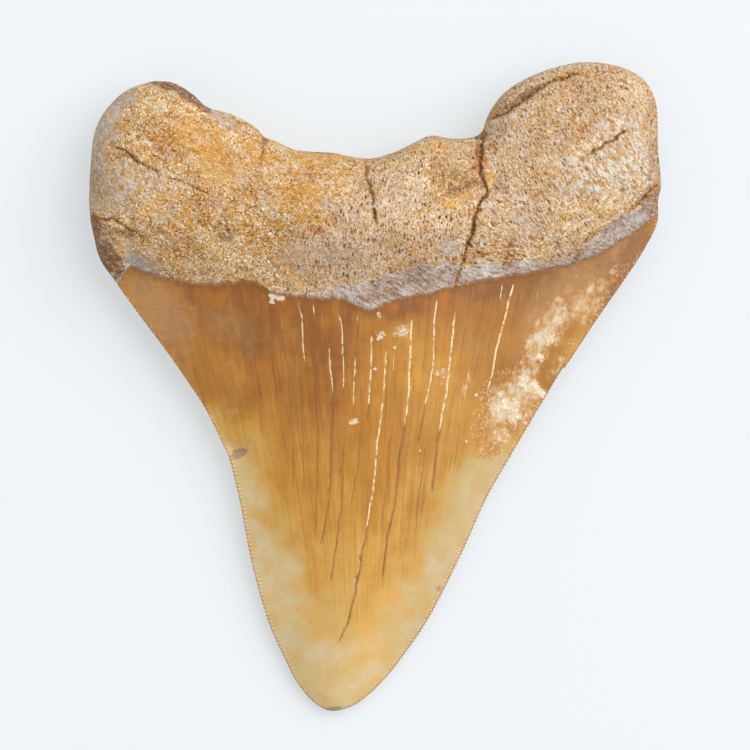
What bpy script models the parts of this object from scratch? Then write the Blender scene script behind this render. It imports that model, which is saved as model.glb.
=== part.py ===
"""A fossil shark tooth, lying on its flatter outer face with the tip towards -Y and the root towards +Y.

It grew as one piece, so it is one solid: a lens-shaped blade with serrated cutting edges, and a thick
root with two lobes. Every size below is in millimetres until the mesh is made. The origin is on the
table, under the middle of the tooth.
"""

import math

import bmesh
import bpy
import numpy as np
from mathutils import Vector, kdtree, noise
from mathutils.geometry import delaunay_2d_cdt

MM = 0.001
TIP_Y = -65.0
ROOT_TOP_Y = 64.7

# The outline, counter-clockwise as seen from above, from the left shoulder down to the tip
LEFT_EDGE = (
    (-51.9, 20.6), (-46.6, 13.3), (-42.1, 7.3), (-37.9, 1.3), (-34.0, -4.7), (-30.4, -12.0),
    (-29.4, -14.2), (-27.3, -22.7), (-25.0, -34.7), (-21.7, -46.7), (-17.7, -55.8), (-15.9, -59.2),
    (-13.5, -62.3), (-11.2, -64.2),
)
TIP = ((-8.7, TIP_Y),)
RIGHT_EDGE = (
    (-5.6, -64.3), (-3.1, -62.9), (0.1, -60.1), (3.9, -55.7), (10.1, -46.7), (16.3, -34.7), (21.7, -22.7),
    (26.8, -13.7), (32.1, -4.7), (37.0, 3.4), (38.0, 4.4), (43.9, 13.3), (49.4, 21.3),
    (53.4, 27.4), (56.0, 32.6),
)
RIGHT_LOBE = (
    (56.2, 37.2), (56.8, 40.6), (56.2, 47.3), (56.0, 55.0), (54.8, 59.2), (52.0, 62.3),
    (47.5, 64.1), (41.0, ROOT_TOP_Y), (35.0, 63.5), (29.1, 61.1), (25.2, 58.3), (22.4, 54.4),
)
NOTCH = (
    (21.0, 50.8), (18.6, 49.6), (14.5, 49.5), (10.9, 50.1), (6.6, 48.2), (2.6, 46.4), (-2.0, 45.5),
    (-9.0, 46.6), (-16.0, 47.2), (-20.4, 49.1), (-22.3, 49.7), (-24.0, 51.6),
)
LEFT_LOBE = (
    (-28.9, 54.3), (-33.8, 55.8), (-36.9, 58.5), (-40.4, 60.5), (-44.2, 60.9), (-49.1, 59.5),
    (-53.0, 56.4), (-56.1, 51.3), (-57.1, 43.3), (-57.3, 35.8), (-56.4, 29.8), (-55.1, 25.3),
)

# Where the enamel ends against the root, on the face that is up and on the face that is down
UPPER_MARGIN = (
    (-58.0, 11.5), (-51.6, 20.1), (-48.9, 23.8), (-45.3, 22.3), (-40.3, 21.0), (-34.3, 20.2),
    (-25.0, 20.7), (-20.0, 18.4), (-13.0, 17.5), (-7.0, 17.1), (-1.6, 15.1), (3.7, 17.0),
    (12.7, 18.9), (22.7, 21.3), (33.7, 23.1), (42.7, 25.5), (50.3, 29.9), (56.3, 33.8), (58.0, 34.6),
)
LOWER_MARGIN = (
    (-58.0, 27.2), (-50.0, 28.3), (-36.0, 27.4), (-20.0, 24.8), (-4.0, 23.2), (8.0, 23.8),
    (24.0, 26.4), (40.0, 31.0), (50.0, 34.2), (58.0, 36.4),
)

# Heights along the tooth, as (y, height) stations
RIM_HEIGHT = ((-65, 2.2), (-45, 3.5), (-20, 5.1), (0, 6.4), (22, 8.0), (40, 9.0), (66, 9.0))
BLADE_RISE = (
    (-65, 0.0), (-63.8, 1.1), (-60, 2.4), (-50, 4.6), (-35, 6.8), (-15, 8.8), (5, 9.8), (20, 10.1),
    (46, 10.1),
)
BLADE_DROP = (
    (-65, 0.0), (-63.8, 0.7), (-60, 1.5), (-50, 2.9), (-42, 3.65), (-25, 4.3), (0, 4.9), (20, 5.6),
    (46, 6.6),
)
UPPER_LENS_POWER = 1.22
LOWER_LENS_POWER = 2.6
ENAMEL_STEP = 0.55
LOWER_ENAMEL_STEP = 0.3
# The step at the enamel's end takes twice this run, and fades out this near the outline, as the hollows do
STEP_RUN = 0.25
EDGE_FADE = 1.5
# The blade's section is worked out for at least this half width, so that it stays defined at the very tip
LEAST_HALF_WIDTH = 0.4

# The root: its lobes, the boss in its middle, and how far in its sides are rounded
LOBE_HEIGHT = 16.4
ROOT_UNDERSIDE = 2.4
UPPER_ROUNDING = 9.0
LOWER_ROUNDING = 7.0
UPPER_RAMP = 15.0
LOWER_RAMP = 10.0
SWELLINGS = (
    ((2.0, 31.0), (28.0, 12.5), 8.0),
    ((40.0, 47.0), (15.0, 15.0), 2.6),
    ((-42.0, 43.0), (14.0, 15.0), 1.2),
)
LUMPS = ((9.0, 0.6), (4.2, 0.45))
# The lumps of the two faces are cut from the same noise at different depths
UPPER_LUMPS = 0.0
LOWER_LUMPS = 7.0

# Cracks and grooves of the root: half width, depth, then the points that each one follows
CRACKS = (
    (1.1, 2.4, ((21.6, 53.0), (20.9, 48.5), (20.7, 44.3), (21.0, 41.0), (21.9, 38.9), (19.6, 34.6),
                (18.8, 30.5), (17.2, 26.0), (16.0, 21.6))),
    (0.9, 1.3, ((-3.4, 48.5), (-2.1, 44.5), (-1.9, 41.5), (-0.9, 37.8), (-0.2, 34.0), (0.0, 30.0))),
    (1.0, 1.7, ((-53.6, 50.2), (-52.0, 48.6), (-49.4, 46.2), (-47.0, 44.8), (-44.4, 42.8), (-41.0, 41.2))),
    (0.9, 1.5, ((20.4, 52.0), (23.4, 53.6), (27.0, 55.2), (30.0, 57.8), (33.6, 60.2), (37.6, 61.7),
                (42.5, 62.3))),
    (1.0, 1.6, ((58.8, 41.6), (55.4, 39.6), (53.0, 37.4), (50.5, 35.0), (48.6, 34.2))),
    (0.8, 1.1, ((45.0, 31.8), (43.0, 29.7), (40.8, 28.2))),
    (0.8, 1.4, ((-21.6, 52.0), (-22.2, 49.0), (-22.8, 46.8), (-23.3, 42.6))),
    (1.1, 1.2, ((-60.0, 34.0), (-56.2, 33.6), (-52.0, 32.9), (-48.6, 31.0), (-44.4, 28.2))),
    (0.9, 0.9, ((50.5, 51.2), (46.2, 48.5), (41.6, 45.6))),
)
CRACK_TAPER = 3.5
# Hollows: centre, radii and depth
PIT = ((15.2, 39.6), (6.4, 4.6), 1.7)
SPALL = ((27.4, -5.4), (6.6, 5.8), 0.55)
EDGE_CHIP = ((-28.6, -13.2), (2.6, 1.7), 0.7)
# The upper rim of the left lobe is broken away beyond this line
BREAK_LINE = ((-50.0, 61.4), (-46.6, 59.8), (-42.6, 58.9), (-38.6, 56.9), (-33.4, 55.0))
BREAK_DROP = 2.6
BREAK_RUN = 0.9
# The broken rim starts over this length, and ends from this far before its line's end to this far past it
BREAK_START = 3.0
BREAK_END = (2.0, 1.0)

# The three spots that touch the table: their centres, flat radius and the radius where the flattening ends.
# The flattening reaches a little past the flat's ring of points
PADS = ((-42.0, 45.0), (43.0, 48.0), (-7.0, -42.0))
PAD_FLAT = 3.0
PAD_FADE = 9.0
PAD_ALLOWANCE = 0.2
PAD_POINTS = 9
PAD_CLEARANCE = 0.3

# The serrations, which fade out at the shoulders
SERRATION_PITCH = 0.8
SERRATION_DEPTH = 0.28
SHOULDER_FADE = 3.0

# How finely curves are worked out
CURVE_SPANS = 24
OUTLINE_STEP = 0.1
SLOPE_REACH = 6.0
TANGENT_REACH = 3

# Rings of points along the outline: how far in each one is and its spacing, then how near other points
# may lie, as a share of that spacing on the blade and in millimetres on the root
ROOT_RIM_STEP = 2.1
BLADE_INSET = 1.0
ROOT_INSET = 0.35
BLADE_RINGS = ((2.7, 2.6),)
BLADE_RING_CLEARANCE = 0.5
ROOT_RINGS = ((1.3, 2.2), (3.0, 2.4), (5.3, 2.6))
ROOT_RING_CLEARANCE = 0.8

# Rows of points along cracks, the broken rim and the enamel's end. The two rows of the enamel's step lie
# this far from its middle, and no row comes nearer to the outline than the clearance
CRACK_LINE_STEP = 0.5
CRACK_ROW_STEP = 1.5
BREAK_ROW_STEP = 1.6
MARGIN_ROW_STEP = 2.0
STEP_SIDE = np.array((0.0, 0.3))
ROW_CLEARANCE = 1.9

# Rings of points round each hollow: share of its radii and number of points
HOLLOW_RINGS = ((0.5, 7), (1.1, 12))
HOLLOW_CLEARANCE = 0.7

# Lattices of points between them: spacing on the face that is up and on the one that is down, the least
# distance from the outline, and how near other points may lie, as a share of the spacing
ROOT_SPACING = 2.2
BLADE_SPACING = 4.2
UNDER_ROOT_SPACING = 3.0
UNDER_BLADE_SPACING = 5.0
ROOT_LATTICE_INSET = 6.6
BLADE_LATTICE_INSET = 3.4
LATTICE_CLEARANCE = 0.62

# How the plan is cut into triangles: only those inside the loop are kept, and points this near become one
KEEP_INSIDE = 1
SAME_POINT = 1e-5

ENAMEL_COLOUR = (0.50, 0.27, 0.075, 1.0)
ENAMEL_ROUGHNESS = 0.38
BONE_COLOUR = (0.47, 0.31, 0.17, 1.0)
BONE_ROUGHNESS = 0.85


def unit(vectors):
    return vectors / np.linalg.norm(vectors, axis=1, keepdims=True)


def catmull_rom(points, step, closed=False):
    """Points every `step` along a smooth curve through the given ones."""
    knots = np.array(points, float)
    ends = (knots[-1:], knots[:2]) if closed else (2 * knots[:1] - knots[1:2], 2 * knots[-1:] - knots[-2:-1])
    padded = np.concatenate([ends[0], knots, ends[1]])
    share = np.linspace(0, 1, CURVE_SPANS, endpoint=False)[:, None]
    spans = []
    for p0, p1, p2, p3 in zip(padded, padded[1:], padded[2:], padded[3:]):
        spans.append(0.5 * (2 * p1 + (p2 - p0) * share + (2 * p0 - 5 * p1 + 4 * p2 - p3) * share**2
                            + (3 * p1 - p0 - 3 * p2 + p3) * share**3))
    curve = np.concatenate(spans + [knots[:1] if closed else knots[-1:]])
    along = np.concatenate([[0], np.cumsum(np.linalg.norm(np.diff(curve, axis=0), axis=1))])
    count = max(2, round(along[-1] / step))
    places = np.linspace(0, along[-1], count + 1)
    places = places[:-1] if closed else places
    return np.stack([np.interp(places, along, curve[:, k]) for k in range(2)], axis=1)


def through(stations, at):
    """A smooth curve through (place, value) stations that never overshoots them, read at the places `at`."""
    place, value = np.array(stations, float).T
    step = np.diff(place)
    rise = np.diff(value) / step
    slope = np.concatenate([rise[:1], np.zeros(len(rise) - 1), rise[-1:]])
    steady = np.where(rise[1:] * rise[:-1] > 0)[0]
    slope[steady + 1] = 2 / (1 / rise[steady + 1] + 1 / rise[steady])
    span = np.clip(np.searchsorted(place, at) - 1, 0, len(step) - 1)
    t = np.clip((at - place[span]) / step[span], 0, 1)
    ease = t * t * (3 - 2 * t)
    lift = (t**3 - 2 * t**2 + t) * slope[span] + (t**3 - t**2) * slope[span + 1]
    return value[span] * (1 - ease) + value[span + 1] * ease + lift * step[span]


def smooth_step(low, high, values):
    t = np.clip((values - low) / (high - low), 0, 1)
    return t * t * (3 - 2 * t)


def bell(points, centre, radii):
    """1 at the centre, fading to nothing past the radii."""
    away = (points - np.array(centre)) / np.array(radii)
    return np.exp(-(away**2).sum(axis=1))


def nearest(points, line, closed=False):
    """How far each point is from a line of points, and how far along the line that is."""
    tree = kdtree.KDTree(len(line))
    for i, p in enumerate(line):
        tree.insert((*p, 0.0), i)
    tree.balance()
    index = np.array([tree.find((*p, 0.0))[1] for p in points], int)
    far = np.full(len(points), np.inf)
    along = np.zeros(len(points))
    for side in (-1, 0):
        start = index + side
        start = start % len(line) if closed else np.clip(start, 0, len(line) - 2)
        a, b = line[start], line[(start + 1) % len(line)]
        t = np.clip(((points - a) * (b - a)).sum(axis=1) / ((b - a) ** 2).sum(axis=1), 0, 1)
        gap = np.linalg.norm(points - a - t[:, None] * (b - a), axis=1)
        along = np.where(gap < far, start + t, along)
        far = np.minimum(gap, far)
    return far, along


OUTLINE_POINTS = LEFT_EDGE + TIP + RIGHT_EDGE + RIGHT_LOBE + NOTCH + LEFT_LOBE
OUTLINE = catmull_rom(OUTLINE_POINTS, OUTLINE_STEP, closed=True)
TIP_INDEX = int(OUTLINE[:, 1].argmin())
RIGHT_SHOULDER = int(np.linalg.norm(OUTLINE - np.array(RIGHT_EDGE[-1]), axis=1).argmin())


def blade_edges(y):
    """The left and right outline of the blade at each y, carried on upwards into the lobes."""
    widest_left = int(OUTLINE[:, 0].argmin())
    left = np.concatenate([OUTLINE[widest_left:], OUTLINE[: TIP_INDEX + 1]])[::-1]
    right = OUTLINE[TIP_INDEX : int(OUTLINE[:, 0].argmax()) + 1]
    return np.interp(y, left[:, 1], left[:, 0]), np.interp(y, right[:, 1], right[:, 0])


def across(points):
    """-1 at the left cutting edge, 0 midway and 1 at the right one."""
    left, right = blade_edges(points[:, 1])
    half = np.maximum((right - left) / 2, LEAST_HALF_WIDTH)
    return np.clip((points[:, 0] - (left + right) / 2) / half, -1, 1)


def above_margin(points, margin):
    """How far each point is on the root's side of the enamel's end."""
    x = points[:, 0]
    slope = (through(margin, x + SLOPE_REACH) - through(margin, x - SLOPE_REACH)) / (2 * SLOPE_REACH)
    return (points[:, 1] - through(margin, x)) / np.sqrt(1 + slope**2)


def rounded(inset, reach):
    """A quarter circle: 0 at the outline and 1 from `reach` inwards."""
    return np.sqrt(1 - (1 - np.clip(inset / reach, 0, 1)) ** 2)


def lumpy(points, seed):
    """The root's uneven surface."""
    total = np.zeros(len(points))
    for size, height in LUMPS:
        total += height * np.array([noise.noise(Vector((x / size, y / size, seed))) for x, y in points])
    return total


def carved(points):
    """How deep the cracks, the pit and the broken rim cut into the upper face of the root."""
    depth = PIT[2] * bell(points, PIT[0], PIT[1])
    for half_width, crack_depth, line in CRACKS:
        gap, _ = nearest(points, catmull_rom(line, CRACK_LINE_STEP))
        to_end = np.minimum(*(np.linalg.norm(points - np.array(line[end]), axis=1) for end in (0, -1)))
        taper = smooth_step(0, CRACK_TAPER, to_end)
        depth = np.maximum(depth, crack_depth * taper * (1 - smooth_step(0, half_width, gap)))
    x, y = np.array(BREAK_LINE).T
    beyond = points[:, 1] - np.interp(points[:, 0], x, y)
    broken = smooth_step(0, BREAK_RUN, beyond) * smooth_step(x[0], x[0] + BREAK_START, points[:, 0])
    broken *= 1 - smooth_step(x[-1] - BREAK_END[0], x[-1] + BREAK_END[1], points[:, 0])
    return np.maximum(depth, BREAK_DROP * broken)


def rises(past, ramp_length, step, inset):
    """How far the root has taken over from the blade, and the small step up where the enamel ends."""
    ramp = np.sin(np.clip(past / ramp_length, 0, 1) * math.pi / 2)
    risen = smooth_step(-STEP_RUN, STEP_RUN, past) * smooth_step(0, EDGE_FADE, inset)
    return ramp, step * risen * (1 - ramp)


def upper_height(points, inset):
    """Height of the face that is up, where `inset` is how far each point is inside the outline."""
    rim = through(RIM_HEIGHT, points[:, 1])
    lens = (1 - across(points) ** 2) ** UPPER_LENS_POWER
    blade = rim + through(BLADE_RISE, points[:, 1]) * lens
    for centre, radii, depth in (SPALL, EDGE_CHIP):
        blade -= depth * bell(points, centre, radii) * smooth_step(0, EDGE_FADE, inset)
    crest = LOBE_HEIGHT + lumpy(points, UPPER_LUMPS)
    for centre, radii, height in SWELLINGS:
        crest += height * bell(points, centre, radii)
    crest -= carved(points)
    root = rim + (crest - rim) * rounded(inset, UPPER_ROUNDING)
    ramp, step = rises(above_margin(points, UPPER_MARGIN), UPPER_RAMP, ENAMEL_STEP, inset)
    return blade + (root - blade) * ramp + step


def lower_height(points, inset):
    """Height of the face that is down."""
    rim = through(RIM_HEIGHT, points[:, 1])
    lens = 1 - np.abs(across(points)) ** LOWER_LENS_POWER
    blade = rim - through(BLADE_DROP, points[:, 1]) * lens
    root = rim - (rim - ROOT_UNDERSIDE - lumpy(points, LOWER_LUMPS)) * rounded(inset, LOWER_ROUNDING)
    ramp, step = rises(above_margin(points, LOWER_MARGIN), LOWER_RAMP, LOWER_ENAMEL_STEP, inset)
    height = blade + (root - blade) * ramp + step
    for pad in PADS:
        away = np.linalg.norm(points - np.array(pad), axis=1)
        height *= smooth_step(PAD_FLAT + PAD_ALLOWANCE, PAD_FADE, away)
    return np.maximum(height, 0)


def inward(line):
    """Unit vectors that point into a counter-clockwise closed line."""
    tangent = unit(np.roll(line, -TANGENT_REACH, axis=0) - np.roll(line, TANGENT_REACH, axis=0))
    return np.stack([-tangent[:, 1], tangent[:, 0]], axis=1)


def offset(start, stop, spacing, inset):
    """Points every `spacing` along a stretch of the outline, moved in by `inset`."""
    count = max(2, round((stop - start) * OUTLINE_STEP / spacing))
    index = np.linspace(start, stop, count, endpoint=False).astype(int) % len(OUTLINE)
    return OUTLINE[index] + inward(OUTLINE)[index] * inset


def beside(line, spacing, aside):
    """A row of points along a line, and a row on either side of it."""
    middle = catmull_rom(line, spacing)
    tangent = unit(np.gradient(middle, axis=0))
    normal = np.stack([-tangent[:, 1], tangent[:, 0]], axis=1)
    return [middle, middle + normal * aside, middle - normal * aside]


def ring_points(centre, radii, count):
    angle = np.arange(count) * 2 * math.pi / count
    return np.array(centre) + np.stack([np.cos(angle), np.sin(angle)], axis=1) * np.array(radii)


def lattice(spacing):
    """A triangular lattice of points over the whole outline."""
    row = spacing * math.sqrt(0.75)
    low, high = OUTLINE.min(axis=0), OUTLINE.max(axis=0)
    x, y = np.meshgrid(np.arange(low[0], high[0], spacing), np.arange(low[1], high[1], row))
    shift = (np.arange(len(y)) % 2)[:, None] * spacing / 2
    return np.stack([(x + shift).ravel(), y.ravel()], axis=1)


def rim_and_inset():
    """The rim with its serrations, the loop just inside it, and the rim point behind each loop point."""
    normal = inward(OUTLINE)
    edge_length = RIGHT_SHOULDER * OUTLINE_STEP
    teeth = round(edge_length / SERRATION_PITCH)
    half_teeth = np.linspace(0, RIGHT_SHOULDER, 2 * teeth + 1).astype(int)
    root_count = round((len(OUTLINE) - RIGHT_SHOULDER) * OUTLINE_STEP / ROOT_RIM_STEP)
    root = np.linspace(RIGHT_SHOULDER, len(OUTLINE), root_count + 1).astype(int)[1:-1]
    index = np.concatenate([half_teeth, root])
    rim = OUTLINE[index].copy()
    peaks = np.arange(1, 2 * teeth, 2)
    rim[peaks] -= normal[index[peaks]] * SERRATION_DEPTH
    behind = np.concatenate([np.arange(0, 2 * teeth + 1, 2), np.arange(2 * teeth + 1, len(index))])
    from_shoulder = np.minimum(index[behind], RIGHT_SHOULDER - index[behind]) * OUTLINE_STEP
    share = smooth_step(0, SHOULDER_FADE, from_shoulder)
    inset = ROOT_INSET + (BLADE_INSET - ROOT_INSET) * share
    return rim, OUTLINE[index[behind]] + normal[index[behind]] * inset[:, None], behind


def thinned(groups, loop):
    """The points of each group in turn that are not too near the loop or a point already kept."""
    kept = []
    tree_points = [*loop]
    for points, clearance in groups:
        tree = kdtree.KDTree(len(tree_points))
        for i, p in enumerate(tree_points):
            tree.insert((*p, 0.0), i)
        tree.balance()
        free = [p for p in points if tree.find((*p, 0.0))[2] > clearance]
        kept += free
        tree_points += free
    return np.array(kept)


def inside(points, margin):
    """Which points lie inside the outline, and by how much."""
    gap, along = nearest(points, OUTLINE, closed=True)
    normal = inward(OUTLINE)[along.astype(int) % len(OUTLINE)]
    base = OUTLINE[along.astype(int) % len(OUTLINE)]
    return (gap > margin) & (((points - base) * normal).sum(axis=1) > 0)


def sheet(loop, margin, rows, groups, root_spacing, blade_spacing):
    """Triangles that fill the loop, with edges along the rows. Returns the points and the triangles."""
    line = catmull_rom(margin, MARGIN_ROW_STEP)
    rows = [line - STEP_SIDE, line + STEP_SIDE] + rows
    fixed, edges = list(loop), []
    for row in rows:
        clear = inside(row, ROW_CLEARANCE)
        for i in range(len(row)):
            if clear[i]:
                if i and clear[i - 1]:
                    edges.append((len(fixed) - 1, len(fixed)))
                fixed.append(row[i])
    root_grid, blade_grid = lattice(root_spacing), lattice(blade_spacing)
    root_grid = root_grid[above_margin(root_grid, margin) > 0]
    blade_grid = blade_grid[above_margin(blade_grid, margin) <= 0]
    grids = [(grid[inside(grid, inset)], spacing * LATTICE_CLEARANCE) for grid, inset, spacing in (
        (root_grid, ROOT_LATTICE_INSET, root_spacing), (blade_grid, BLADE_LATTICE_INSET, blade_spacing))]
    points = np.concatenate([fixed, thinned(groups + grids, fixed)])
    outer = list(range(len(loop)))
    made = delaunay_2d_cdt([Vector(p) for p in points], edges, [outer], KEEP_INSIDE, SAME_POINT)
    order = [ids[0] for ids in made[3]]
    return points, [[order[i] for i in face] for face in made[2]]


def ring_groups():
    """The rings of points that follow the outline, with how near another point may lie."""
    blade = [(offset(0, RIGHT_SHOULDER, step, inset), step * BLADE_RING_CLEARANCE)
             for inset, step in BLADE_RINGS]
    root = [(offset(RIGHT_SHOULDER, len(OUTLINE), step, inset), ROOT_RING_CLEARANCE)
            for inset, step in ROOT_RINGS]
    return blade + root


def build_tooth():
    rim, loop, behind = rim_and_inset()
    cracks = [row for half_width, _, line in CRACKS for row in beside(line, CRACK_ROW_STEP, half_width)]
    hollows = [(ring_points(centre, np.array(radii) * share, count), HOLLOW_CLEARANCE)
               for centre, radii, _ in (PIT, SPALL, EDGE_CHIP) for share, count in HOLLOW_RINGS]
    broken = beside(BREAK_LINE, BREAK_ROW_STEP, BREAK_RUN / 2)[1:]
    pads = [(spot, PAD_CLEARANCE) for pad in PADS
            for spot in (np.array([pad]), ring_points(pad, (PAD_FLAT, PAD_FLAT), PAD_POINTS))]
    upper, upper_faces = sheet(
        loop, UPPER_MARGIN, cracks + broken, hollows + ring_groups(), ROOT_SPACING, BLADE_SPACING)
    lower, lower_faces = sheet(
        loop, LOWER_MARGIN, [], pads + ring_groups(), UNDER_ROOT_SPACING, UNDER_BLADE_SPACING)
    mesh = bmesh.new()

    def add(points, heights):
        return [mesh.verts.new((x * MM, y * MM, z * MM)) for (x, y), z in zip(points, heights)]

    rim_verts = add(rim, through(RIM_HEIGHT, rim[:, 1]))
    for points, faces, height, margin, upwards in (
        (upper, upper_faces, upper_height, UPPER_MARGIN, True),
        (lower, lower_faces, lower_height, LOWER_MARGIN, False),
    ):
        gap, _ = nearest(points, OUTLINE, closed=True)
        verts = add(points, height(points, gap))
        strips = [list(face) for face in strip_faces(rim_verts, verts, behind)]
        strips += [[verts[i] for i in face] for face in faces]
        for corners in strips:
            face = mesh.faces.new(corners if upwards else corners[::-1])
            middle = np.mean([[v.co.x, v.co.y] for v in face.verts], axis=0)[None] / MM
            face.material_index = int(above_margin(middle, margin)[0] > 0)
            face.smooth = True
    data = bpy.data.meshes.new("tooth")
    mesh.to_mesh(data)
    mesh.free()
    data.materials.append(material("enamel", ENAMEL_COLOUR, ENAMEL_ROUGHNESS))
    data.materials.append(material("root_bone", BONE_COLOUR, BONE_ROUGHNESS))
    tooth = bpy.data.objects.new("tooth", data)
    bpy.context.scene.collection.objects.link(tooth)
    return tooth


def strip_faces(rim, ring, behind):
    """The triangles between the rim and the loop inside it. Each serration's peak has two loop points."""
    for i, start in enumerate(behind):
        j = (i + 1) % len(behind)
        stop = behind[j]
        a, b, near, far = rim[start], rim[stop], ring[i], ring[j]
        if (stop - start) % len(rim) == 2:
            peak = rim[start + 1]
            yield from ((a, peak, near), (peak, far, near), (peak, b, far))
        else:
            yield from ((a, b, far), (a, far, near))


def material(name, colour, roughness):
    made = bpy.data.materials.new(name)
    made.use_nodes = True
    shader = made.node_tree.nodes["Principled BSDF"]
    shader.inputs["Base Color"].default_value = colour
    shader.inputs["Roughness"].default_value = roughness
    shader.inputs["Metallic"].default_value = 0.0
    return made


for old in list(bpy.data.objects):
    bpy.data.objects.remove(old)
build_tooth()
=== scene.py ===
# %% [markdown]
# # A fossil shark tooth on a pale table
#
# The real thing grew as one piece: a blade of enamel over dentine with serrated cutting edges, and a thick
# root of porous bone. It lay in sandy ground for millions of years, so the root is crusted with sand and
# iron stains, and the enamel has turned amber and cracked. This lesson dresses the plain solid that the
# frame holds. It makes one dense skin for blade and root, weathers it with Geometry Nodes, scatters sand
# grains on it, and paints it with node materials whose maths is written as Python expressions.

# %% Load the fixed frame
import math
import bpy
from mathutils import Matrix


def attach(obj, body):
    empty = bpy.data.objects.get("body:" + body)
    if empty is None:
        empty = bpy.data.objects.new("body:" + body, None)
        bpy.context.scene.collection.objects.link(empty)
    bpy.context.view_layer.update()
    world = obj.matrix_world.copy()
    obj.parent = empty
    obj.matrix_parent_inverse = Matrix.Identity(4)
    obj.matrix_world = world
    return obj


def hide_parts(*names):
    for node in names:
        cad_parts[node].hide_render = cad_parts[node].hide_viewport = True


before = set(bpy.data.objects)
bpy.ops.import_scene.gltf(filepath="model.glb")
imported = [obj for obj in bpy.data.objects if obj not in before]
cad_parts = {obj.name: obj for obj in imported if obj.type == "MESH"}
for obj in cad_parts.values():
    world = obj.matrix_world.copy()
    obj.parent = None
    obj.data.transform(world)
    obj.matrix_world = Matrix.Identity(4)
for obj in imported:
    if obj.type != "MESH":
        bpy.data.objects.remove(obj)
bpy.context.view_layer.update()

from types import SimpleNamespace

import bpy
import numpy as np
from mathutils import Vector, bvhtree, kdtree, noise
from mathutils.geometry import delaunay_2d_cdt

MM = 0.001

# %% [markdown]
# ## The camera
#
# The tooth is seen from straight above, so its outline shows without foreshortening. A long lens from a
# little over a metre and a half keeps the thick root from looking larger than the thin blade. The camera
# comes first, because the size of its picture on the table decides how fine the skin has to be.

# %% Make the camera
PICTURE_PIXELS = 750
PICTURE_WIDTH = 150.0
PICTURE_CENTRE = (-0.3, 2.3)
FOCUS_HEIGHT = 5.5
CAMERA_DISTANCE = 1600.0
SENSOR_WIDTH = 36.0

camera = bpy.data.objects.new("camera", bpy.data.cameras.new("camera"))
camera.data.sensor_width = SENSOR_WIDTH
camera.data.lens = SENSOR_WIDTH * CAMERA_DISTANCE / PICTURE_WIDTH
camera.location = Vector((*PICTURE_CENTRE, FOCUS_HEIGHT + CAMERA_DISTANCE)) * MM
bpy.context.scene.collection.objects.link(camera)
bpy.context.scene.camera = camera
print(f"one pixel shows {PICTURE_WIDTH / PICTURE_PIXELS:.2f} mm, through a {camera.data.lens:.0f} mm lens")

# %% [markdown]
# ## Curves and fades
#
# The shape is drawn with a few given points, so every curve here is worked out from short lists:
# closed curves through points for outlines and cracks, and curves through stations for heights along the
# tooth. All sizes are in millimetres until the mesh is made.

# %% Curves through a few points
POINTS_PER_SPAN = 24


def unit(vectors):
    return vectors / np.linalg.norm(vectors, axis=1, keepdims=True)


def catmull_rom(points, step, closed=False):
    """Points every `step` along a smooth curve through the given ones."""
    knots = np.array(points, float)
    ends = (knots[-1:], knots[:2]) if closed else (2 * knots[:1] - knots[1:2], 2 * knots[-1:] - knots[-2:-1])
    padded = np.concatenate([ends[0], knots, ends[1]])
    share = np.linspace(0, 1, POINTS_PER_SPAN, endpoint=False)[:, None]
    spans = []
    for p0, p1, p2, p3 in zip(padded, padded[1:], padded[2:], padded[3:]):
        spans.append(0.5 * (2 * p1 + (p2 - p0) * share + (2 * p0 - 5 * p1 + 4 * p2 - p3) * share**2
                            + (3 * p1 - p0 - 3 * p2 + p3) * share**3))
    curve = np.concatenate(spans + [knots[:1] if closed else knots[-1:]])
    along = np.concatenate([[0], np.cumsum(np.linalg.norm(np.diff(curve, axis=0), axis=1))])
    count = max(2, round(along[-1] / step))
    places = np.linspace(0, along[-1], count + 1)
    places = places[:-1] if closed else places
    return np.stack([np.interp(places, along, curve[:, k]) for k in range(2)], axis=1)


def through(stations, at):
    """A smooth curve through (place, value) stations that doesn't overshoot them, read at the places `at`."""
    place, value = np.array(stations, float).T
    step = np.diff(place)
    rise = np.diff(value) / step
    slope = np.concatenate([rise[:1], np.zeros(len(rise) - 1), rise[-1:]])
    steady = np.where(rise[1:] * rise[:-1] > 0)[0]
    slope[steady + 1] = 2 / (1 / rise[steady + 1] + 1 / rise[steady])
    span = np.clip(np.searchsorted(place, at) - 1, 0, len(step) - 1)
    t = np.clip((at - place[span]) / step[span], 0, 1)
    ease = t * t * (3 - 2 * t)
    lift = (t**3 - 2 * t**2 + t) * slope[span] + (t**3 - t**2) * slope[span + 1]
    return value[span] * (1 - ease) + value[span + 1] * ease + lift * step[span]


# %% Fades, bells and distances
def smooth_step(low, high, values):
    t = np.clip((values - low) / (high - low), 0, 1)
    return t * t * (3 - 2 * t)


def bell(points, centre, radii):
    """1 at the centre, fading to nothing past the radii."""
    away = (points - np.array(centre)) / np.array(radii)
    return np.exp(-(away**2).sum(axis=1))


def tree_of(points):
    tree = kdtree.KDTree(len(points))
    for i, (x, y) in enumerate(points):
        tree.insert((x, y, 0.0), i)
    tree.balance()
    return tree


def nearest(points, line, closed=False):
    """How far each point is from a line of points, and how far along the line that is."""
    find = tree_of(line).find
    index = np.array([find((x, y, 0.0))[1] for x, y in points], int)
    far = np.full(len(points), np.inf)
    along = np.zeros(len(points))
    for side in (-1, 0):
        start = index + side
        start = start % len(line) if closed else np.clip(start, 0, len(line) - 2)
        a, b = line[start], line[(start + 1) % len(line)]
        t = np.clip(((points - a) * (b - a)).sum(axis=1) / ((b - a) ** 2).sum(axis=1), 0, 1)
        gap = np.linalg.norm(points - a - t[:, None] * (b - a), axis=1)
        along = np.where(gap < far, start + t, along)
        far = np.minimum(gap, far)
    return far, along


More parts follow.
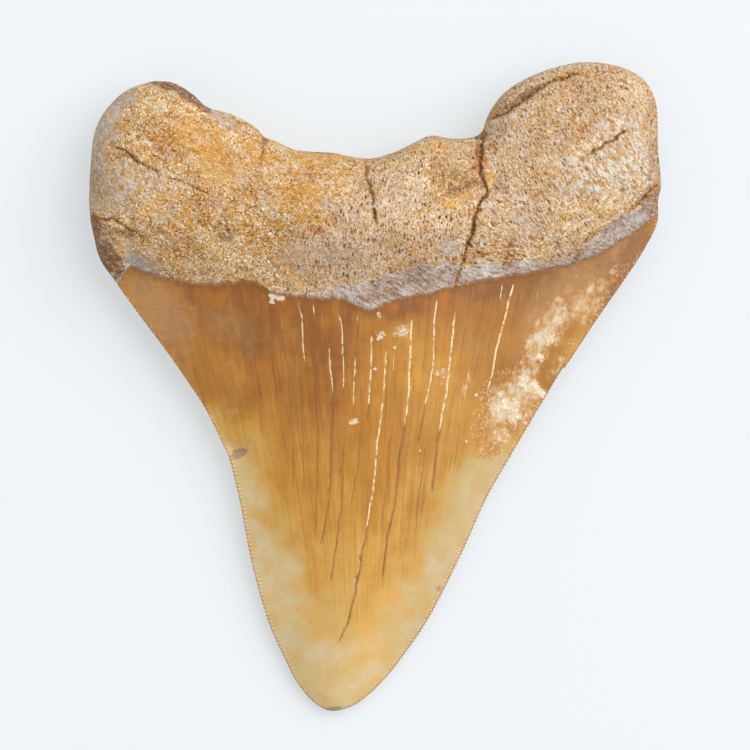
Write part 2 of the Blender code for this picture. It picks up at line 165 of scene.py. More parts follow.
def near_line(points, line, reach):
    """As nearest, but points further than `reach` from the line's box are called infinitely far."""
    low, high = line.min(axis=0) - reach, line.max(axis=0) + reach
    close = ((points > low) & (points < high)).all(axis=1)
    far, along = np.full(len(points), np.inf), np.zeros(len(points))
    if close.any():
        far[close], along[close] = nearest(points[close], line)
    return far, along


def ripple(points, size, seed):
    """Smooth noise from -1 to 1 over the plan, with lumps of about `size`."""
    return np.array([noise.noise(Vector((x / size, y / size, seed))) for x, y in points])


# %% [markdown]
# ## The tooth's form
#
# The same outline and heights as the solid's. A blade is a lens in section: fuller on the face that is up,
# flatter on the face that is down. The root rises past the enamel's end in a quarter round to a lumpy
# plateau with a boss in its middle. A height for every point of the plan, once for the upper face and once
# for the lower one, is enough for a tooth that lies down, because neither face overhangs itself.

# %% The outline
LEFT_EDGE = (
    (-51.9, 20.6), (-46.6, 13.3), (-42.1, 7.3), (-37.9, 1.3), (-34, -4.7), (-30.4, -12), (-29.4, -14.2),
    (-27.3, -22.7), (-25, -34.7), (-21.7, -46.7), (-17.7, -55.8), (-15.9, -59.2), (-13.5, -62.3),
    (-11.2, -64.2),
)
TIP = ((-8.7, -65.0),)
RIGHT_EDGE = (
    (-5.6, -64.3), (-3.1, -62.9), (0.1, -60.1), (3.9, -55.7), (10.1, -46.7), (16.3, -34.7), (21.7, -22.7),
    (26.8, -13.7), (32.1, -4.7), (37, 3.4), (38, 4.4), (43.9, 13.3), (49.4, 21.3), (53.4, 27.4), (56, 32.6),
)
RIGHT_LOBE = (
    (56.2, 37.2), (56.8, 40.6), (56.2, 47.3), (56, 55), (54.8, 59.2), (52, 62.3), (47.5, 64.1), (41, 64.7),
    (35, 63.5), (29.1, 61.1), (25.2, 58.3), (22.4, 54.4),
)
NOTCH = (
    (21, 50.8), (18.6, 49.6), (14.5, 49.5), (10.9, 50.1), (6.6, 48.2), (2.6, 46.4), (-2, 45.5), (-9, 46.6),
    (-16, 47.2), (-20.4, 49.1), (-22.3, 49.7), (-24, 51.6),
)
LEFT_LOBE = (
    (-28.9, 54.3), (-33.8, 55.8), (-36.9, 58.5), (-40.4, 60.5), (-44.2, 60.9), (-49.1, 59.5), (-53, 56.4),
    (-56.1, 51.3), (-57.1, 43.3), (-57.3, 35.8), (-56.4, 29.8), (-55.1, 25.3),
)
OUTLINE_STEP = 0.1
OUTLINE_POINTS = LEFT_EDGE + TIP + RIGHT_EDGE + RIGHT_LOBE + NOTCH + LEFT_LOBE
OUTLINE = catmull_rom(OUTLINE_POINTS, OUTLINE_STEP, closed=True)
TIP_INDEX = int(OUTLINE[:, 1].argmin())
RIGHT_SHOULDER = int(np.linalg.norm(OUTLINE - np.array(RIGHT_EDGE[-1]), axis=1).argmin())
EDGE_LENGTH = RIGHT_SHOULDER * OUTLINE_STEP
print(f"the outline is {len(OUTLINE) * OUTLINE_STEP:.0f} mm round, {EDGE_LENGTH:.0f} mm of it cutting edge")


def inward(line):
    """Unit vectors that point into a counter-clockwise closed line."""
    tangent = unit(np.roll(line, -3, axis=0) - np.roll(line, 3, axis=0))
    return np.stack([-tangent[:, 1], tangent[:, 0]], axis=1)


def inside(points, gap, along, margin):
    """Which points lie within the outline by more than `margin`."""
    base = along.astype(int) % len(OUTLINE)
    return (gap > margin) & (((points - OUTLINE[base]) * inward(OUTLINE)[base]).sum(axis=1) > 0)


def blade_edges(y):
    """The left and right outline of the blade at each y, carried on upwards into the lobes."""
    left = np.concatenate([OUTLINE[int(OUTLINE[:, 0].argmin()):], OUTLINE[: TIP_INDEX + 1]])[::-1]
    right = OUTLINE[TIP_INDEX : int(OUTLINE[:, 0].argmax()) + 1]
    return np.interp(y, left[:, 1], left[:, 0]), np.interp(y, right[:, 1], right[:, 0])


def across(points):
    """-1 at the left cutting edge, 0 midway and 1 at the right one."""
    left, right = blade_edges(points[:, 1])
    half = np.maximum((right - left) / 2, 0.4)
    return np.clip((points[:, 0] - (left + right) / 2) / half, -1, 1)


# %% Where the enamel ends
UPPER_MARGIN = (
    (-58, 11.5), (-51.6, 20.1), (-48.9, 23.8), (-45.3, 22.3), (-40.3, 21), (-34.3, 20.2), (-25, 20.7),
    (-20, 18.4), (-13, 17.5), (-7, 17.1), (-1.6, 15.1), (3.7, 17), (12.7, 18.9), (22.7, 21.3), (33.7, 23.1),
    (42.7, 25.5), (50.3, 29.9), (56.3, 33.8), (58, 34.6),
)
LOWER_MARGIN = (
    (-58, 27.2), (-50, 28.3), (-36, 27.4), (-20, 24.8), (-4, 23.2), (8, 23.8), (24, 26.4), (40, 31),
    (50, 34.2), (58, 36.4),
)
RAGGEDNESS = ((3.1, 0.28), (1.2, 0.22), (0.5, 0.12))
SLOPE_REACH = 6.0


def margin_height(margin, x):
    """The y of the enamel's end at each x, with its small ragged bays."""
    level = through(margin, x)
    for size, reach in RAGGEDNESS:
        level += reach * ripple(np.stack([x, np.zeros_like(x)], axis=1), size, 3.0 + size)
    return level


def above_margin(points, margin):
    """How far each point is on the root's side of the enamel's end."""
    x = np.linspace(-60, 60, 1201)
    rise = through(margin, x + SLOPE_REACH) - through(margin, x - SLOPE_REACH)
    lean = np.sqrt(1 + (np.interp(points[:, 0], x, rise) / (2 * SLOPE_REACH)) ** 2)
    return (points[:, 1] - np.interp(points[:, 0], x, margin_height(margin, x))) / lean


# %% Cracks, hollows and the broken rim
CRACKS = (
    (1.1, 2.2, ((21.6, 53), (20.9, 48.5), (20.7, 44.3), (21, 41), (21.9, 38.9), (19.6, 34.6), (18.8, 30.5),
                (18.2, 28.5))),
    (0.95, 1.5, ((19.8, 35), (18.9, 30.4), (18, 27.9), (17.2, 25.1), (16.5, 22.6), (15.4, 19.6), (14.9, 17))),
    (0.9, 1.3, ((-3.4, 48.5), (-2.1, 44.5), (-1.9, 41.5), (-0.9, 37.8), (-0.2, 34), (0, 30))),
    (1.2, 1, ((-53.6, 49.6), (-52.2, 47.6), (-49.8, 46.6), (-47.2, 44.4), (-44.2, 42.9), (-41, 41.2))),
    (0.6, 0.6, ((-43.5, 42.3), (-40.3, 41.3), (-35.3, 39.3), (-31, 37.2))),
    (0.55, 0.6, ((27.5, 31.5), (26.6, 28), (25.2, 23.6), (24.2, 20.8))),
    (0.6, 0.7, ((40.3, 24), (41, 28), (42.7, 30.1), (45.3, 32.1))),
    (0.9, 1.5, ((20.4, 52), (23.4, 53.6), (27, 55.2), (30, 57.8), (33.6, 60.2), (37.6, 61.7), (42.5, 62.3))),
    (1, 1.6, ((58.8, 41.6), (55.4, 39.6), (53, 37.4), (50.5, 35), (48.6, 34.2))),
    (0.8, 1.1, ((45, 31.8), (43, 29.7), (40.8, 28.2))),
    (0.8, 1.4, ((-21.6, 52), (-22.2, 49), (-22.8, 46.8), (-23.3, 42.6))),
    (1.1, 1.2, ((-60, 34), (-56.2, 33.6), (-52, 32.9), (-48.6, 31), (-44.4, 28.2))),
    (0.9, 0.9, ((52.2, 52.3), (46.2, 48.5), (39.8, 44.6))),
)
CRACK_TAPER = 3.5
CRACK_NARROWING, CRACK_SHALLOWING = 0.55, 0.7
PIT = ((15.2, 39.6), (6.4, 4.6), 1.7)
SPALL = ((27.4, -5.4), (6.6, 5.8), 0.55)
EDGE_CHIP = ((-28.6, -13.2), (2.6, 1.7), 0.7)
BREAK_LINE = ((-50, 61.4), (-46.6, 59.8), (-42.6, 58.9), (-38.6, 56.9), (-33.4, 55))
BREAK_DROP = 2.6
BREAK_RUN = 0.9


def ragged(points, sizes=((1.6, 0.42), (0.6, 0.22))):
    """The points shaken sideways by noise, so that what is drawn with them gets ragged sides."""
    shaken = points.copy()
    for size, reach in sizes:
        shaken += reach * np.stack([ripple(points, size, seed + size) for seed in (41.0, 57.0)], axis=1)
    return shaken


def crack_depths(points):
    """How deep the root's cracks cut at each point, and a number that is 1 at their bottom and 0 outside."""
    points = ragged(points)
    depth, bottom = np.zeros(len(points)), np.zeros(len(points))
    for half_width, crack_depth, line in CRACKS:
        gap, _ = near_line(points, catmull_rom(line, 0.5), half_width)
        to_end = np.minimum(*(np.linalg.norm(points - np.array(line[end]), axis=1) for end in (0, -1)))
        taper = smooth_step(0, CRACK_TAPER, to_end)
        shape = taper * (1 - smooth_step(0, half_width * CRACK_NARROWING, gap))
        depth = np.maximum(depth, crack_depth * CRACK_SHALLOWING * shape)
        bottom = np.maximum(bottom, shape)
    return depth, bottom


def broken(points):
    """1 where the upper rim of the left lobe is broken away, 0 elsewhere."""
    x, y = np.array(BREAK_LINE).T
    beyond = points[:, 1] - np.interp(points[:, 0], x, y)
    share = smooth_step(0, BREAK_RUN, beyond) * smooth_step(x[0], x[0] + 3, points[:, 0])
    return share * (1 - smooth_step(x[-1] - 2, x[-1] + 1, points[:, 0]))


# %% Heights of the two faces
RIM_HEIGHT = ((-65, 2.2), (-45, 3.5), (-20, 5.1), (0, 6.4), (22, 8), (40, 9), (66, 9))
BLADE_RISE = (
    (-65, 0), (-63.8, 1.1), (-60, 2.4), (-50, 4.6), (-35, 6.8), (-15, 8.8), (5, 9.8), (20, 10.1), (46, 10.1),
)
BLADE_DROP = (
    (-65, 0), (-63.8, 0.7), (-60, 1.5), (-50, 2.9), (-42, 3.65), (-25, 4.3), (0, 4.9), (20, 5.6), (46, 6.6),
)
UPPER_LENS_POWER, LOWER_LENS_POWER = 1.22, 2.6
ENAMEL_STEP, LOWER_ENAMEL_STEP = 0.55, 0.3
LOBE_HEIGHT, ROOT_UNDERSIDE = 16.4, 2.4
UPPER_ROUNDING, LOWER_ROUNDING = 9.0, 7.0
UPPER_RAMP, LOWER_RAMP = 15.0, 10.0
SWELLINGS = (((2, 31), (28, 12.5), 8), ((40, 47), (15, 15), 2.6), ((-42, 43), (14, 15), 1.2))
LUMPS = ((9.0, 0.6), (4.2, 0.45))
PADS = ((-42.0, 45.0), (43.0, 48.0), (-7.0, -42.0))
PAD_FLAT, PAD_FADE = 3.0, 9.0


def rounded(inset, reach):
    """A quarter circle: 0 at the outline and 1 from `reach` inwards."""
    return np.sqrt(1 - (1 - np.clip(inset / reach, 0, 1)) ** 2)


def lumpy(points, seed):
    return sum(height * ripple(points, size, seed) for size, height in LUMPS)


def rises(past, ramp_length, step, inset):
    """How far the root has taken over from the blade, and the small step up where the enamel ends."""
    ramp = np.sin(np.clip(past / ramp_length, 0, 1) * math.pi / 2)
    return ramp, step * smooth_step(-0.25, 0.25, past) * smooth_step(0, 1.5, inset) * (1 - ramp)


def upper_height(points, inset, past):
    """Height of the face that is up, for points `inset` within the outline and `past` the enamel's end."""
    rim = through(RIM_HEIGHT, points[:, 1])
    blade = rim + through(BLADE_RISE, points[:, 1]) * (1 - across(points) ** 2) ** UPPER_LENS_POWER
    for centre, radii, depth in (SPALL, EDGE_CHIP):
        blade -= depth * bell(points, centre, radii) * smooth_step(0, 1.5, inset)
    crest = LOBE_HEIGHT + lumpy(points, 0.0)
    for centre, radii, height in SWELLINGS:
        crest += height * bell(points, centre, radii)
    hollow = PIT[2] * bell(points, *PIT[:2])
    crest -= np.maximum(np.maximum(crack_depths(points)[0], hollow), BREAK_DROP * broken(points))
    root = rim + (crest - rim) * rounded(inset, UPPER_ROUNDING)
    ramp, step = rises(past, UPPER_RAMP, ENAMEL_STEP, inset)
    return blade + (root - blade) * ramp + step


def lower_height(points, inset, past):
    """Height of the face that is down, flattened to the table at the three spots that the tooth rests on."""
    rim = through(RIM_HEIGHT, points[:, 1])
    lens = 1 - np.abs(across(points)) ** LOWER_LENS_POWER
    blade = rim - through(BLADE_DROP, points[:, 1]) * lens
    root = rim - (rim - ROOT_UNDERSIDE - lumpy(points, 7.0)) * rounded(inset, LOWER_ROUNDING)
    ramp, step = rises(past, LOWER_RAMP, LOWER_ENAMEL_STEP, inset)
    height = blade + (root - blade) * ramp + step
    for pad in PADS:
        away = np.linalg.norm(points - np.array(pad), axis=1)
        height *= smooth_step(PAD_FLAT + 0.2, PAD_FADE, away)
    return np.maximum(height, 0)


# %% [markdown]
# ## Cracks in the enamel
#
# Drying opened long cracks along the blade. Near the root they are filled with pale mineral, and further
# down they are dark and empty. They could be painted with a noise texture, but they are the tooth's most
# personal marks, so each is drawn by a few points, and the skin gets a row of vertices down its middle and
# one on either side of it. The list gives each crack's half width, the y below which its filling is gone,
# how strongly it shows, and its points.

# %% The enamel's cracks
VEINS = (
    (0.2, 5, 0.8, ((-15.7, 17.6), (-14.8, 13), (-14.6, 7.8), (-14.3, 5.4), (-14, 2.3))),
    (0.18, 12.5, 0.8, ((-12.7, 17.2), (-12.3, 14.3), (-11.9, 12.1))),
    (0.18, 20, 0.6, ((-12.7, 9.1), (-12.3, 2.9), (-12.2, -0.7), (-12, -6.3), (-11.7, -9.3), (-11.9, -20),
                     (-12.3, -31))),
    (0.18, -0.5, 0.9, ((-9.4, 8.6), (-9.3, 4.2), (-8.8, 0.5), (-8.8, -4.7), (-9, -9.3), (-9.1, -15.4),
                       (-9.4, -21.6), (-9.9, -25.3), (-10.8, -29.6), (-11.4, -32.9))),
    (0.18, -0.2, 0.8, ((-8.1, 15.2), (-7, 12.7), (-6.7, 8.4), (-6.5, 2.9), (-6.6, -0.1), (-6.6, -2.6))),
    (0.16, -4, 0.8, ((-4.1, 6.6), (-4.4, 2.3), (-4.6, -2.6), (-4.8, -6.3))),
    (0.14, 20, 0.6, ((-3, -7.5), (-3.5, -12.4), (-3.6, -14.8), (-4.1, -18.2), (-4.8, -21.6), (-5.3, -26.7))),
    (0.16, 20, 0.8, ((-6.4, -10.8), (-6.8, -15.4), (-6.8, -20.7), (-7.4, -26.8), (-8.2, -32.9), (-8.9, -37.2),
                     (-9.5, -40))),
    (0.14, 13, 0.7, ((-3.6, 14.9), (-3.8, 13.3), (-3.7, 8))),
    (0.22, -3.2, 1, ((-0.9, 11), (-1, 8.4), (-1, 5.4), (-1.2, 1.7), (-1.5, -2.6), (-1.7, -5), (-1.9, -8.1))),
    (0.22, -27.5, 1, ((2, 7.9), (1.8, 4.2), (1.6, 1.7), (1.4, -2), (1, -5.3), (0.7, -7.8), (0.2, -10.8),
                      (-0.1, -14.5), (-0.3, -17.3), (-0.7, -20.7), (-1.3, -23.8), (-1.7, -26.5), (-2, -29),
                      (-2.3, -30.8), (-3, -32.9), (-3.1, -34.8), (-3.3, -36.6), (-3.9, -38.8), (-4.3, -41.5),
                      (-4.8, -43.4), (-5.3, -45.2), (-5.9, -47.6), (-6.5, -48.9), (-7.4, -50.7),
                      (-8.2, -52.1))),
    (0.12, 3, 0.6, ((3.6, 8.4), (3.4, 4.2), (3.3, 0))),
    (0.24, -7, 1, ((7.1, 14), (6.8, 9.1), (6.8, 6), (6.5, 2.9), (6.5, -0.1), (6.2, -3.2), (5.8, -6.3),
                   (5.3, -9.3), (4.9, -11.8), (4.5, -13.9), (4.3, -17), (4, -20), (3.6, -24.1), (3, -26.8),
                   (2.2, -29.6), (1.9, -32.3), (1.5, -35.4), (1.2, -37.8), (1, -39.7))),
    (0.2, -3, 0.9, ((12.2, 18), (11.6, 14.1), (11.4, 9.8), (11.3, 4.9), (10.8, 1.9), (10.3, -1.2),
                    (9.7, -3.3), (9.3, -6.1), (8.7, -8.8), (8.2, -11.3), (8, -12.8))),
    (0.14, 20, 0.7, ((9.8, -11), (9.6, -13.4), (9, -18), (8.4, -22), (8.1, -24.4), (7.8, -29.9))),
    (0.24, -8, 1, ((15.7, 15.6), (15.2, 10.7), (14.8, 6.8), (14.3, 2.5), (13.9, -1.5), (13.3, -4.3),
                   (12.8, -7.3), (12.2, -10.4), (11.9, -13.4), (11.6, -16.5), (11.3, -19.6), (11, -22))),
    (0.18, 10, 0.8, ((25.2, 21.2), (24.4, 16))),
    (0.24, -3, 1, ((27.6, 21.2), (26.7, 18.4), (25.8, 14.7), (24.9, 11.1), (24, 8), (23.5, 5.2), (23, 2.2),
                   (22.3, -0.3), (21.8, -2.4))),
    (0.12, 10, 0.5, ((32.2, 20), (31.8, 15))),
    (0.16, -9, 0.6, ((18.5, 4), (18, 0.6), (17.4, -3))),
    (0.12, -9, 0.4, ((19.4, 2), (18.6, -2.2))),
    (0.18, 20, 0.5, ((-18.8, 9.1), (-17.7, 3.5), (-17.4, -1.4), (-17.1, -5.2), (-16.6, -14), (-16.8, -22))),
    (0.18, 20, 0.4, ((-24.6, 8), (-23.6, 1), (-23.3, -5), (-22.6, -12))),
    (0.18, 20, 0.45, ((-21.5, 10), (-20.6, 5), (-20.2, 0), (-19.6, -8))),
    (0.18, 20, 0.45, ((-15.4, 5), (-15, -5), (-14.6, -14), (-14.8, -24))),
    (0.18, 20, 0.5, ((2.6, -9.3), (2.2, -15.4), (1.7, -21.6), (0.6, -30))),
    (0.18, 20, 0.45, ((5.6, -22), (5, -29), (4.6, -36))),
    (0.18, 20, 0.5, ((-0.4, 16), (-0.6, 11))),
    (0.18, 20, 0.6, ((7.2, 18.5), (7.2, 14.5))),
    (0.18, 20, 0.45, ((16.6, -6), (16, -12), (15.3, -18))),
    (0.18, 20, 0.45, ((-27.5, 13), (-26.4, 6), (-25.4, -1))),
    (0.18, 20, 0.4, ((19.8, 12), (19.2, 6), (18.6, 1))),
    (0.14, 20, 0.9, ((-34, -5.1), (-33.1, -4.4), (-32.3, -3.7))),
    (0.12, 20, 0.8, ((-33, -6.6), (-31.8, -6.4), (-30.3, -6.3))),
)
VEIN_STEP = 0.5
VEIN_SPREAD = 1.2
print(f"{len(VEINS)} cracks run down the enamel")

# %% [markdown]
# ## Stains, chalk and rust
#
# What the ground did to the tooth is local: a white spall on the right edge, rust in the notches, ochre
# sand on the left lobe, a lilac band where root and enamel meet. Each mark is an ellipse with a strength,
# drawn in real millimetres, with its rim broken up by noise, and each family of marks becomes one
# number at every vertex, which relief and paint both read.

# %% The marks, each as (x, y, half length, half width, turn in degrees, strength)
MARKS = {
    "white": (
        (0.5, 13.9, 1.3, 0.7, 90, 0.66), (0.7, 10.2, 1.2, 1.3, 0, 0.55), (5, 10.9, 2.5, 2.1, 70, 0.58),
        (3.6, 7.8, 0.5, 0.5, 0, 0.9), (-0.3, 3.5, 0.5, 0.4, 0, 0.9), (-4.6, -6.9, 1.3, 0.8, 20, 0.7),
        (13.1, 2.6, 1.6, 1.4, 0, 0.62), (8.6, -12.8, 0.35, 0.35, 0, 1), (17.9, -11, 0.35, 0.35, 0, 1),
        (20, -1.6, 0.4, 0.4, 0, 1), (25.8, -4.5, 4.8, 3.5, -30, 0.62), (24.4, -9, 3.2, 2.2, -60, 0.52),
        (30.7, 0.2, 3.2, 2, -38, 0.8), (33.2, -1.5, 1.7, 1, -50, 0.75), (25, -10.6, 2.4, 1.4, 20, 0.5),
        (28.6, -6.4, 3, 2.2, 0, 0.5), (33.6, 12.6, 6.5, 1.5, 58, 0.3), (36.4, 12, 2.7, 2, 40, 0.42),
        (34.7, 9.2, 1.7, 0.8, 60, 0.65), (32.5, 5.7, 1.5, 1.1, -30, 0.7), (40.6, 17, 4.2, 1.8, 45, 0.3),
        (39.8, 22.4, 1.3, 0.9, 0, 0.45), (47.5, 23.4, 2.6, 0.9, 55, 0.5), (49, 43.8, 8, 6.5, 0, 0.9),
        (42.5, 40, 5, 3, 20, 0.7), (46, 51, 6, 3.5, 20, 0.6), (-20.3, 18.3, 1.5, 1.1, 30, 1),
        (-19.1, 17.7, 1.2, 0.8, 0, 1), (-20.8, 16.9, 0.7, 0.5, 0, 0.9), (13.3, 44.1, 1.8, 1.4, 0, 0.95),
        (-34.7, 49.3, 2, 1.7, 0, 0.8), (-24, 42, 5, 3, 0, 0.3), (-47.5, 41.5, 8, 4.5, -25, 0.6),
        (-53, 53.5, 4, 2.5, 40, 0.5), (37.5, 45.5, 6, 3.5, -50, 0.55), (51, 50, 4, 6, 10, 0.5),
        (4, 38, 6, 5.5, 0, 0.4), (-6, 26, 17, 4.6, 3, 0.36), (26, 51, 4, 4.6, 20, 0.5),
        (27.5, 60.4, 2.2, 0.7, 22, 0.7), (-44, 30, 4, 2, 0, 0.3), (-52, 46, 3, 6, 0, 0.3),
        (24, 34, 4, 3, 0, 0.3), (-20.8, 35.2, 1.8, 1.8, 0, 0.55), (-32, 38.5, 1.5, 1.2, 0, 0.5),
        (50.2, 21.8, 9, 0.6, 57, 0.55), (28.6, 59.2, 1.6, 0.5, 20, 0.7),
    ),
    "haze": (
        (34, 11, 10, 3.4, 58, 0.9), (27.2, -3.5, 7, 5.4, 40, 1), (30, 2.6, 4.6, 2.6, 45, 0.8),
        (42, 16.5, 6.5, 3.6, 50, 0.74), (24.8, -10, 3, 2.4, 0, 0.7), (-26.5, -12.6, 2.6, 1.2, 30, 0.7),
        (49, 25.5, 3.5, 2.5, 50, 0.25), (18, 0.5, 1.2, 4.5, -8, 0.4), (13, 2, 2.8, 2.6, 0, 0.4),
        (5, 11, 2.6, 2.4, 0, 0.3), (31, 13, 5, 1.2, 75, 0.4), (37.5, 17.5, 5, 1, 65, 0.5),
        (36, 4, 4, 1.6, 55, 0.5),
    ),
    "film": (
        (-43, 14.5, 11, 6.5, -50, 0.9), (-30, 12.5, 9, 6, -10, 0.45), (-25.5, 9, 2, 5, 0, 0.4),
        (40, 20, 13, 6.5, 35, 0.75), (33, 13, 5, 10, -30, 0.7), (49, 27, 8, 5, 45, 0.8),
        (27, -2, 6, 4, 40, 0.5),
    ),
    "rust": (
        (20.4, -8, 1.8, 4.6, -6, 0.62), (22.6, -13, 3.4, 1.8, 20, 0.6), (27.4, -8.1, 0.7, 0.6, 0, 1),
        (24.6, 2.2, 3.4, 0.9, 26, 0.62), (21.6, -1.6, 1.2, 2.6, 0, 0.62), (29.5, 5, 3, 0.7, 30, 0.5),
        (32.4, -4.6, 2.8, 0.8, 52, 0.6), (30.6, -2.6, 2.4, 0.7, -40, 0.5), (-3.1, -34.1, 0.9, 0.8, 90, 0.9),
        (-4, -38.5, 1.4, 0.6, 80, 0.8), (-4.8, -43.2, 1.4, 0.5, 75, 0.7), (21.3, 44.3, 1.6, 1, 80, 0.75),
        (-11.9, 31, 2.4, 1.4, 0, 0.6), (21.5, 26.1, 2.4, 0.35, 18, 1), (26.8, 25.3, 3.6, 0.4, 71, 0.9),
        (25.8, 26.9, 1.4, 0.3, 10, 1), (23.4, 47.6, 1.6, 0.5, -35, 0.9), (39.1, 54.1, 1.1, 0.7, -50, 0.8),
        (9.5, 31, 1.5, 0.8, 60, 0.65), (-30.5, 44.5, 3, 1, 0, 0.6), (-41, 46.5, 4.5, 1.4, -20, 0.72),
        (24.4, -11.6, 1.2, 0.7, 30, 0.7), (-25, 36, 2.4, 0.9, -20, 0.6), (-50, 56, 3, 1, 20, 0.4),
        (-28.3, -5.5, 0.8, 0.6, 0, 0.5), (-41, 27, 5, 0.9, -25, 0.5), (-36.2, 42.3, 2.4, 0.6, -15, 0.9),
        (-44, 50.5, 5.5, 2.5, -20, 0.66), (-38.4, 26.3, 2.6, 0.9, -25, 0.8), (-33, 33, 4, 0.8, -20, 0.55),
        (-18, 27, 5, 1.2, 10, 0.3), (-10.5, 27.5, 5, 3.5, 60, 0.2), (-47, 33, 4, 1, -30, 0.5),
        (42, 51.5, 3, 1.6, -40, 0.45), (34, 49, 4, 2.5, -60, 0.4), (38.5, 8, 2.4, 0.6, 50, 0.5),
        (43.5, 30.4, 3.5, 0.6, 38, 0.6), (48.4, 21.4, 10, 1.5, 57, 0.5), (20.4, 46.4, 0.8, 3.4, 0, 0.8),
        (19.6, 43.6, 1.8, 0.7, 15, 0.95), (22, 42.6, 0.6, 3, 0, 0.6), (38, 60, 3, 0.8, 25, 0.5),
        (55.5, 34, 1.6, 1.2, 0, 0.6),
    ),
    "ochre": (
        (-36, 49.5, 9, 4.5, -10, 0.9), (-24, 47, 5, 2.5, -25, 0.7), (-12, 46, 8, 3.5, 0, 0.9),
        (-30, 41, 6, 4, 0, 0.6), (-16, 38, 8, 6, 0, 0.6), (-44, 36, 5, 2, 30, 0.6),
        (-38, 33, 8, 2.5, 10, 0.5), (21, 43, 5, 1.4, 90, 0.9), (10, 47.3, 6.5, 1.8, 8, 0.7),
        (35, 44, 8, 5, -30, 0.35), (37.6, 57.4, 2, 0.7, 25, 0.6), (12.5, -0.5, 6, 3, 75, 0.5),
        (7.5, 1, 3.5, 2.2, 0, 0.6), (14, 5, 5, 1.6, 10, 0.5), (-2, -48.5, 2.2, 4.2, 0, 0.8),
        (6.3, -45.5, 1.7, 1.3, 0, 0.7), (-13.5, -45.5, 4.2, 1.8, -30, 0.7), (-11, -50, 4.5, 1.2, 5, 0.6),
        (2.5, -42, 3, 1.8, 20, 0.7), (-3, -53.5, 5, 1.6, 0, 0.6), (-15.5, -40, 2.2, 1.6, -40, 0.6),
        (-11, -62, 2.4, 0.9, -45, 0.4), (9, -36, 1.6, 3.6, 10, 0.5), (14, -33, 1.5, 1.2, 0, 0.4),
        (-15.5, -20, 2.5, 6, 0, 0.4), (-29, 3, 5, 3, -50, 0.5), (-28.8, -5, 1.2, 0.9, 0, 0.7),
        (-22, -6, 4, 6, -10, 0.5), (-16, 6, 3, 8, 0, 0.3), (20, -6, 2.6, 6.5, 0, 0.7),
        (14.8, 36.2, 2.8, 0.8, -28, 1), (11.8, 39.4, 2.2, 0.5, -60, 0.9), (22.6, 41, 3.5, 0.6, 90, 0.9),
        (15.2, 40.4, 7, 6, 0, 1), (2.5, 44, 5, 2, 10, 0.5), (40, 35, 8, 2, 27, 0.5),
        (-33, 46, 9, 5, -20, 0.95),
    ),
    "yellow": (
        (42.7, 34, 12, 4.6, 27, 0.66), (14.8, 36.2, 2.8, 0.8, -28, 1), (11.8, 39.4, 2.2, 0.5, -60, 0.95),
        (10, 42, 4.4, 1.8, 90, 0.7), (15, 41, 7, 5.4, 0, 0.62), (4, 43.8, 4.5, 1.6, 0, 0.55),
        (6.5, 41.5, 1.6, 3.5, 25, 0.5), (18.5, 48, 2.4, 1.4, 0, 0.8), (40.5, 53.5, 3, 2, 0, 0.4),
        (32, 27.5, 5, 2.5, 15, 0.7), (22.6, 41, 3.5, 0.8, 90, 0.9), (-50.5, 31, 3.5, 2, -20, 0.6),
        (-30, 25, 10, 2.5, 0, 0.4), (-6, 22, 6, 1.6, 0, 0.3), (47, 36.5, 4, 2, 30, 0.5),
        (40, 47, 8, 2.2, 30, 0.5), (52, 40, 2.5, 4, 20, 0.5), (35, 36, 6, 2, 30, 0.4),
    ),
    "dark": (
        (-56, 31.5, 4, 1.6, 97, 0.8), (-54.2, 30.2, 3.6, 3, 100, 0.5), (-53.4, 25.6, 4.6, 2.6, 118, 1),
        (-41.5, 60.4, 7, 1.5, -14, 0.95), (-36, 58.3, 4, 1.2, -32, 0.95), (14.8, 39.4, 4.8, 0.7, 0, 0.45),
        (16, 37.6, 4.2, 0.6, -6, 0.4), (13.4, 40.8, 1.8, 1.4, 0, 0.4), (20.5, 46.6, 3.2, 1.2, 92, 0.75),
        (21, 41.6, 3.4, 0.9, 95, 0.7), (-46, 24.6, 4.5, 1.2, -12, 0.42), (20.8, 50.2, 1.7, 1.4, 0, 0.9),
        (18.2, 48.4, 2.4, 0.6, -10, 0.5), (15.3, 41.4, 6.4, 4.6, 0, 0.52), (29.5, 57.7, 6.5, 1.2, 33, 0.7),
        (24.3, 54.6, 3, 1, 20, 0.35), (-51.2, 22.9, 2.4, 0.8, 54, 0.8), (-50, 30.5, 3, 1.2, -10, 0.6),
        (-9, 44.5, 2.5, 1, -20, 0.4), (-44, 52, 5, 1, -15, 0.35), (-22.3, 49.2, 1.3, 0.8, 90, 0.7),
        (57, 38, 3, 1, 90, 0.7), (-27.6, -13.4, 2.2, 1, 25, 0.62), (-8.5, -64.5, 1.8, 0.4, 5, 0.5),
        (-48.6, 45.6, 3, 0.9, -38, 0.45), (24, 58, 3, 0.8, 55, 0.3), (17, 49.8, 3, 0.6, 0, 0.6),
        (-8.5, 46.6, 5, 0.4, -3, 0.6), (12.5, -40.5, 0.8, 0.3, 60, 0.7), (-35, 22.5, 5, 0.7, -5, 0.4),
        (27, 61, 3, 0.5, 30, 0.5), (4, 47.8, 3, 0.6, 20, 0.5), (8, 23, 5, 3, 20, 0.35),
        (-2, 17.6, 6, 1.2, 0, 0.45), (4.5, 17.4, 3, 1, -25, 0.5), (-36, 27.5, 3.5, 0.7, -40, 0.45),
        (-40.5, 28.5, 2.5, 0.6, -40, 0.5), (-37, 57.6, 4.5, 1.4, -35, 0.95), (-34.6, 55.7, 2.5, 1, -38, 0.9),
        # (55.5, 45) below is painted shade on the right lobe's steep right side, which faces the lamp.
        (51.5, 27.5, 6, 2.6, 42, 0.5), (55, 37, 4.4, 3.4, 60, 0.56), (55.5, 45, 3, 6, 0, 0.46),
        (11.5, 37.6, 3, 2.4, 0, 0.46), (47.5, 32, 4.5, 1.4, 36, 0.52), (24.5, 38.5, 3.2, 3.6, 0, 0.42),
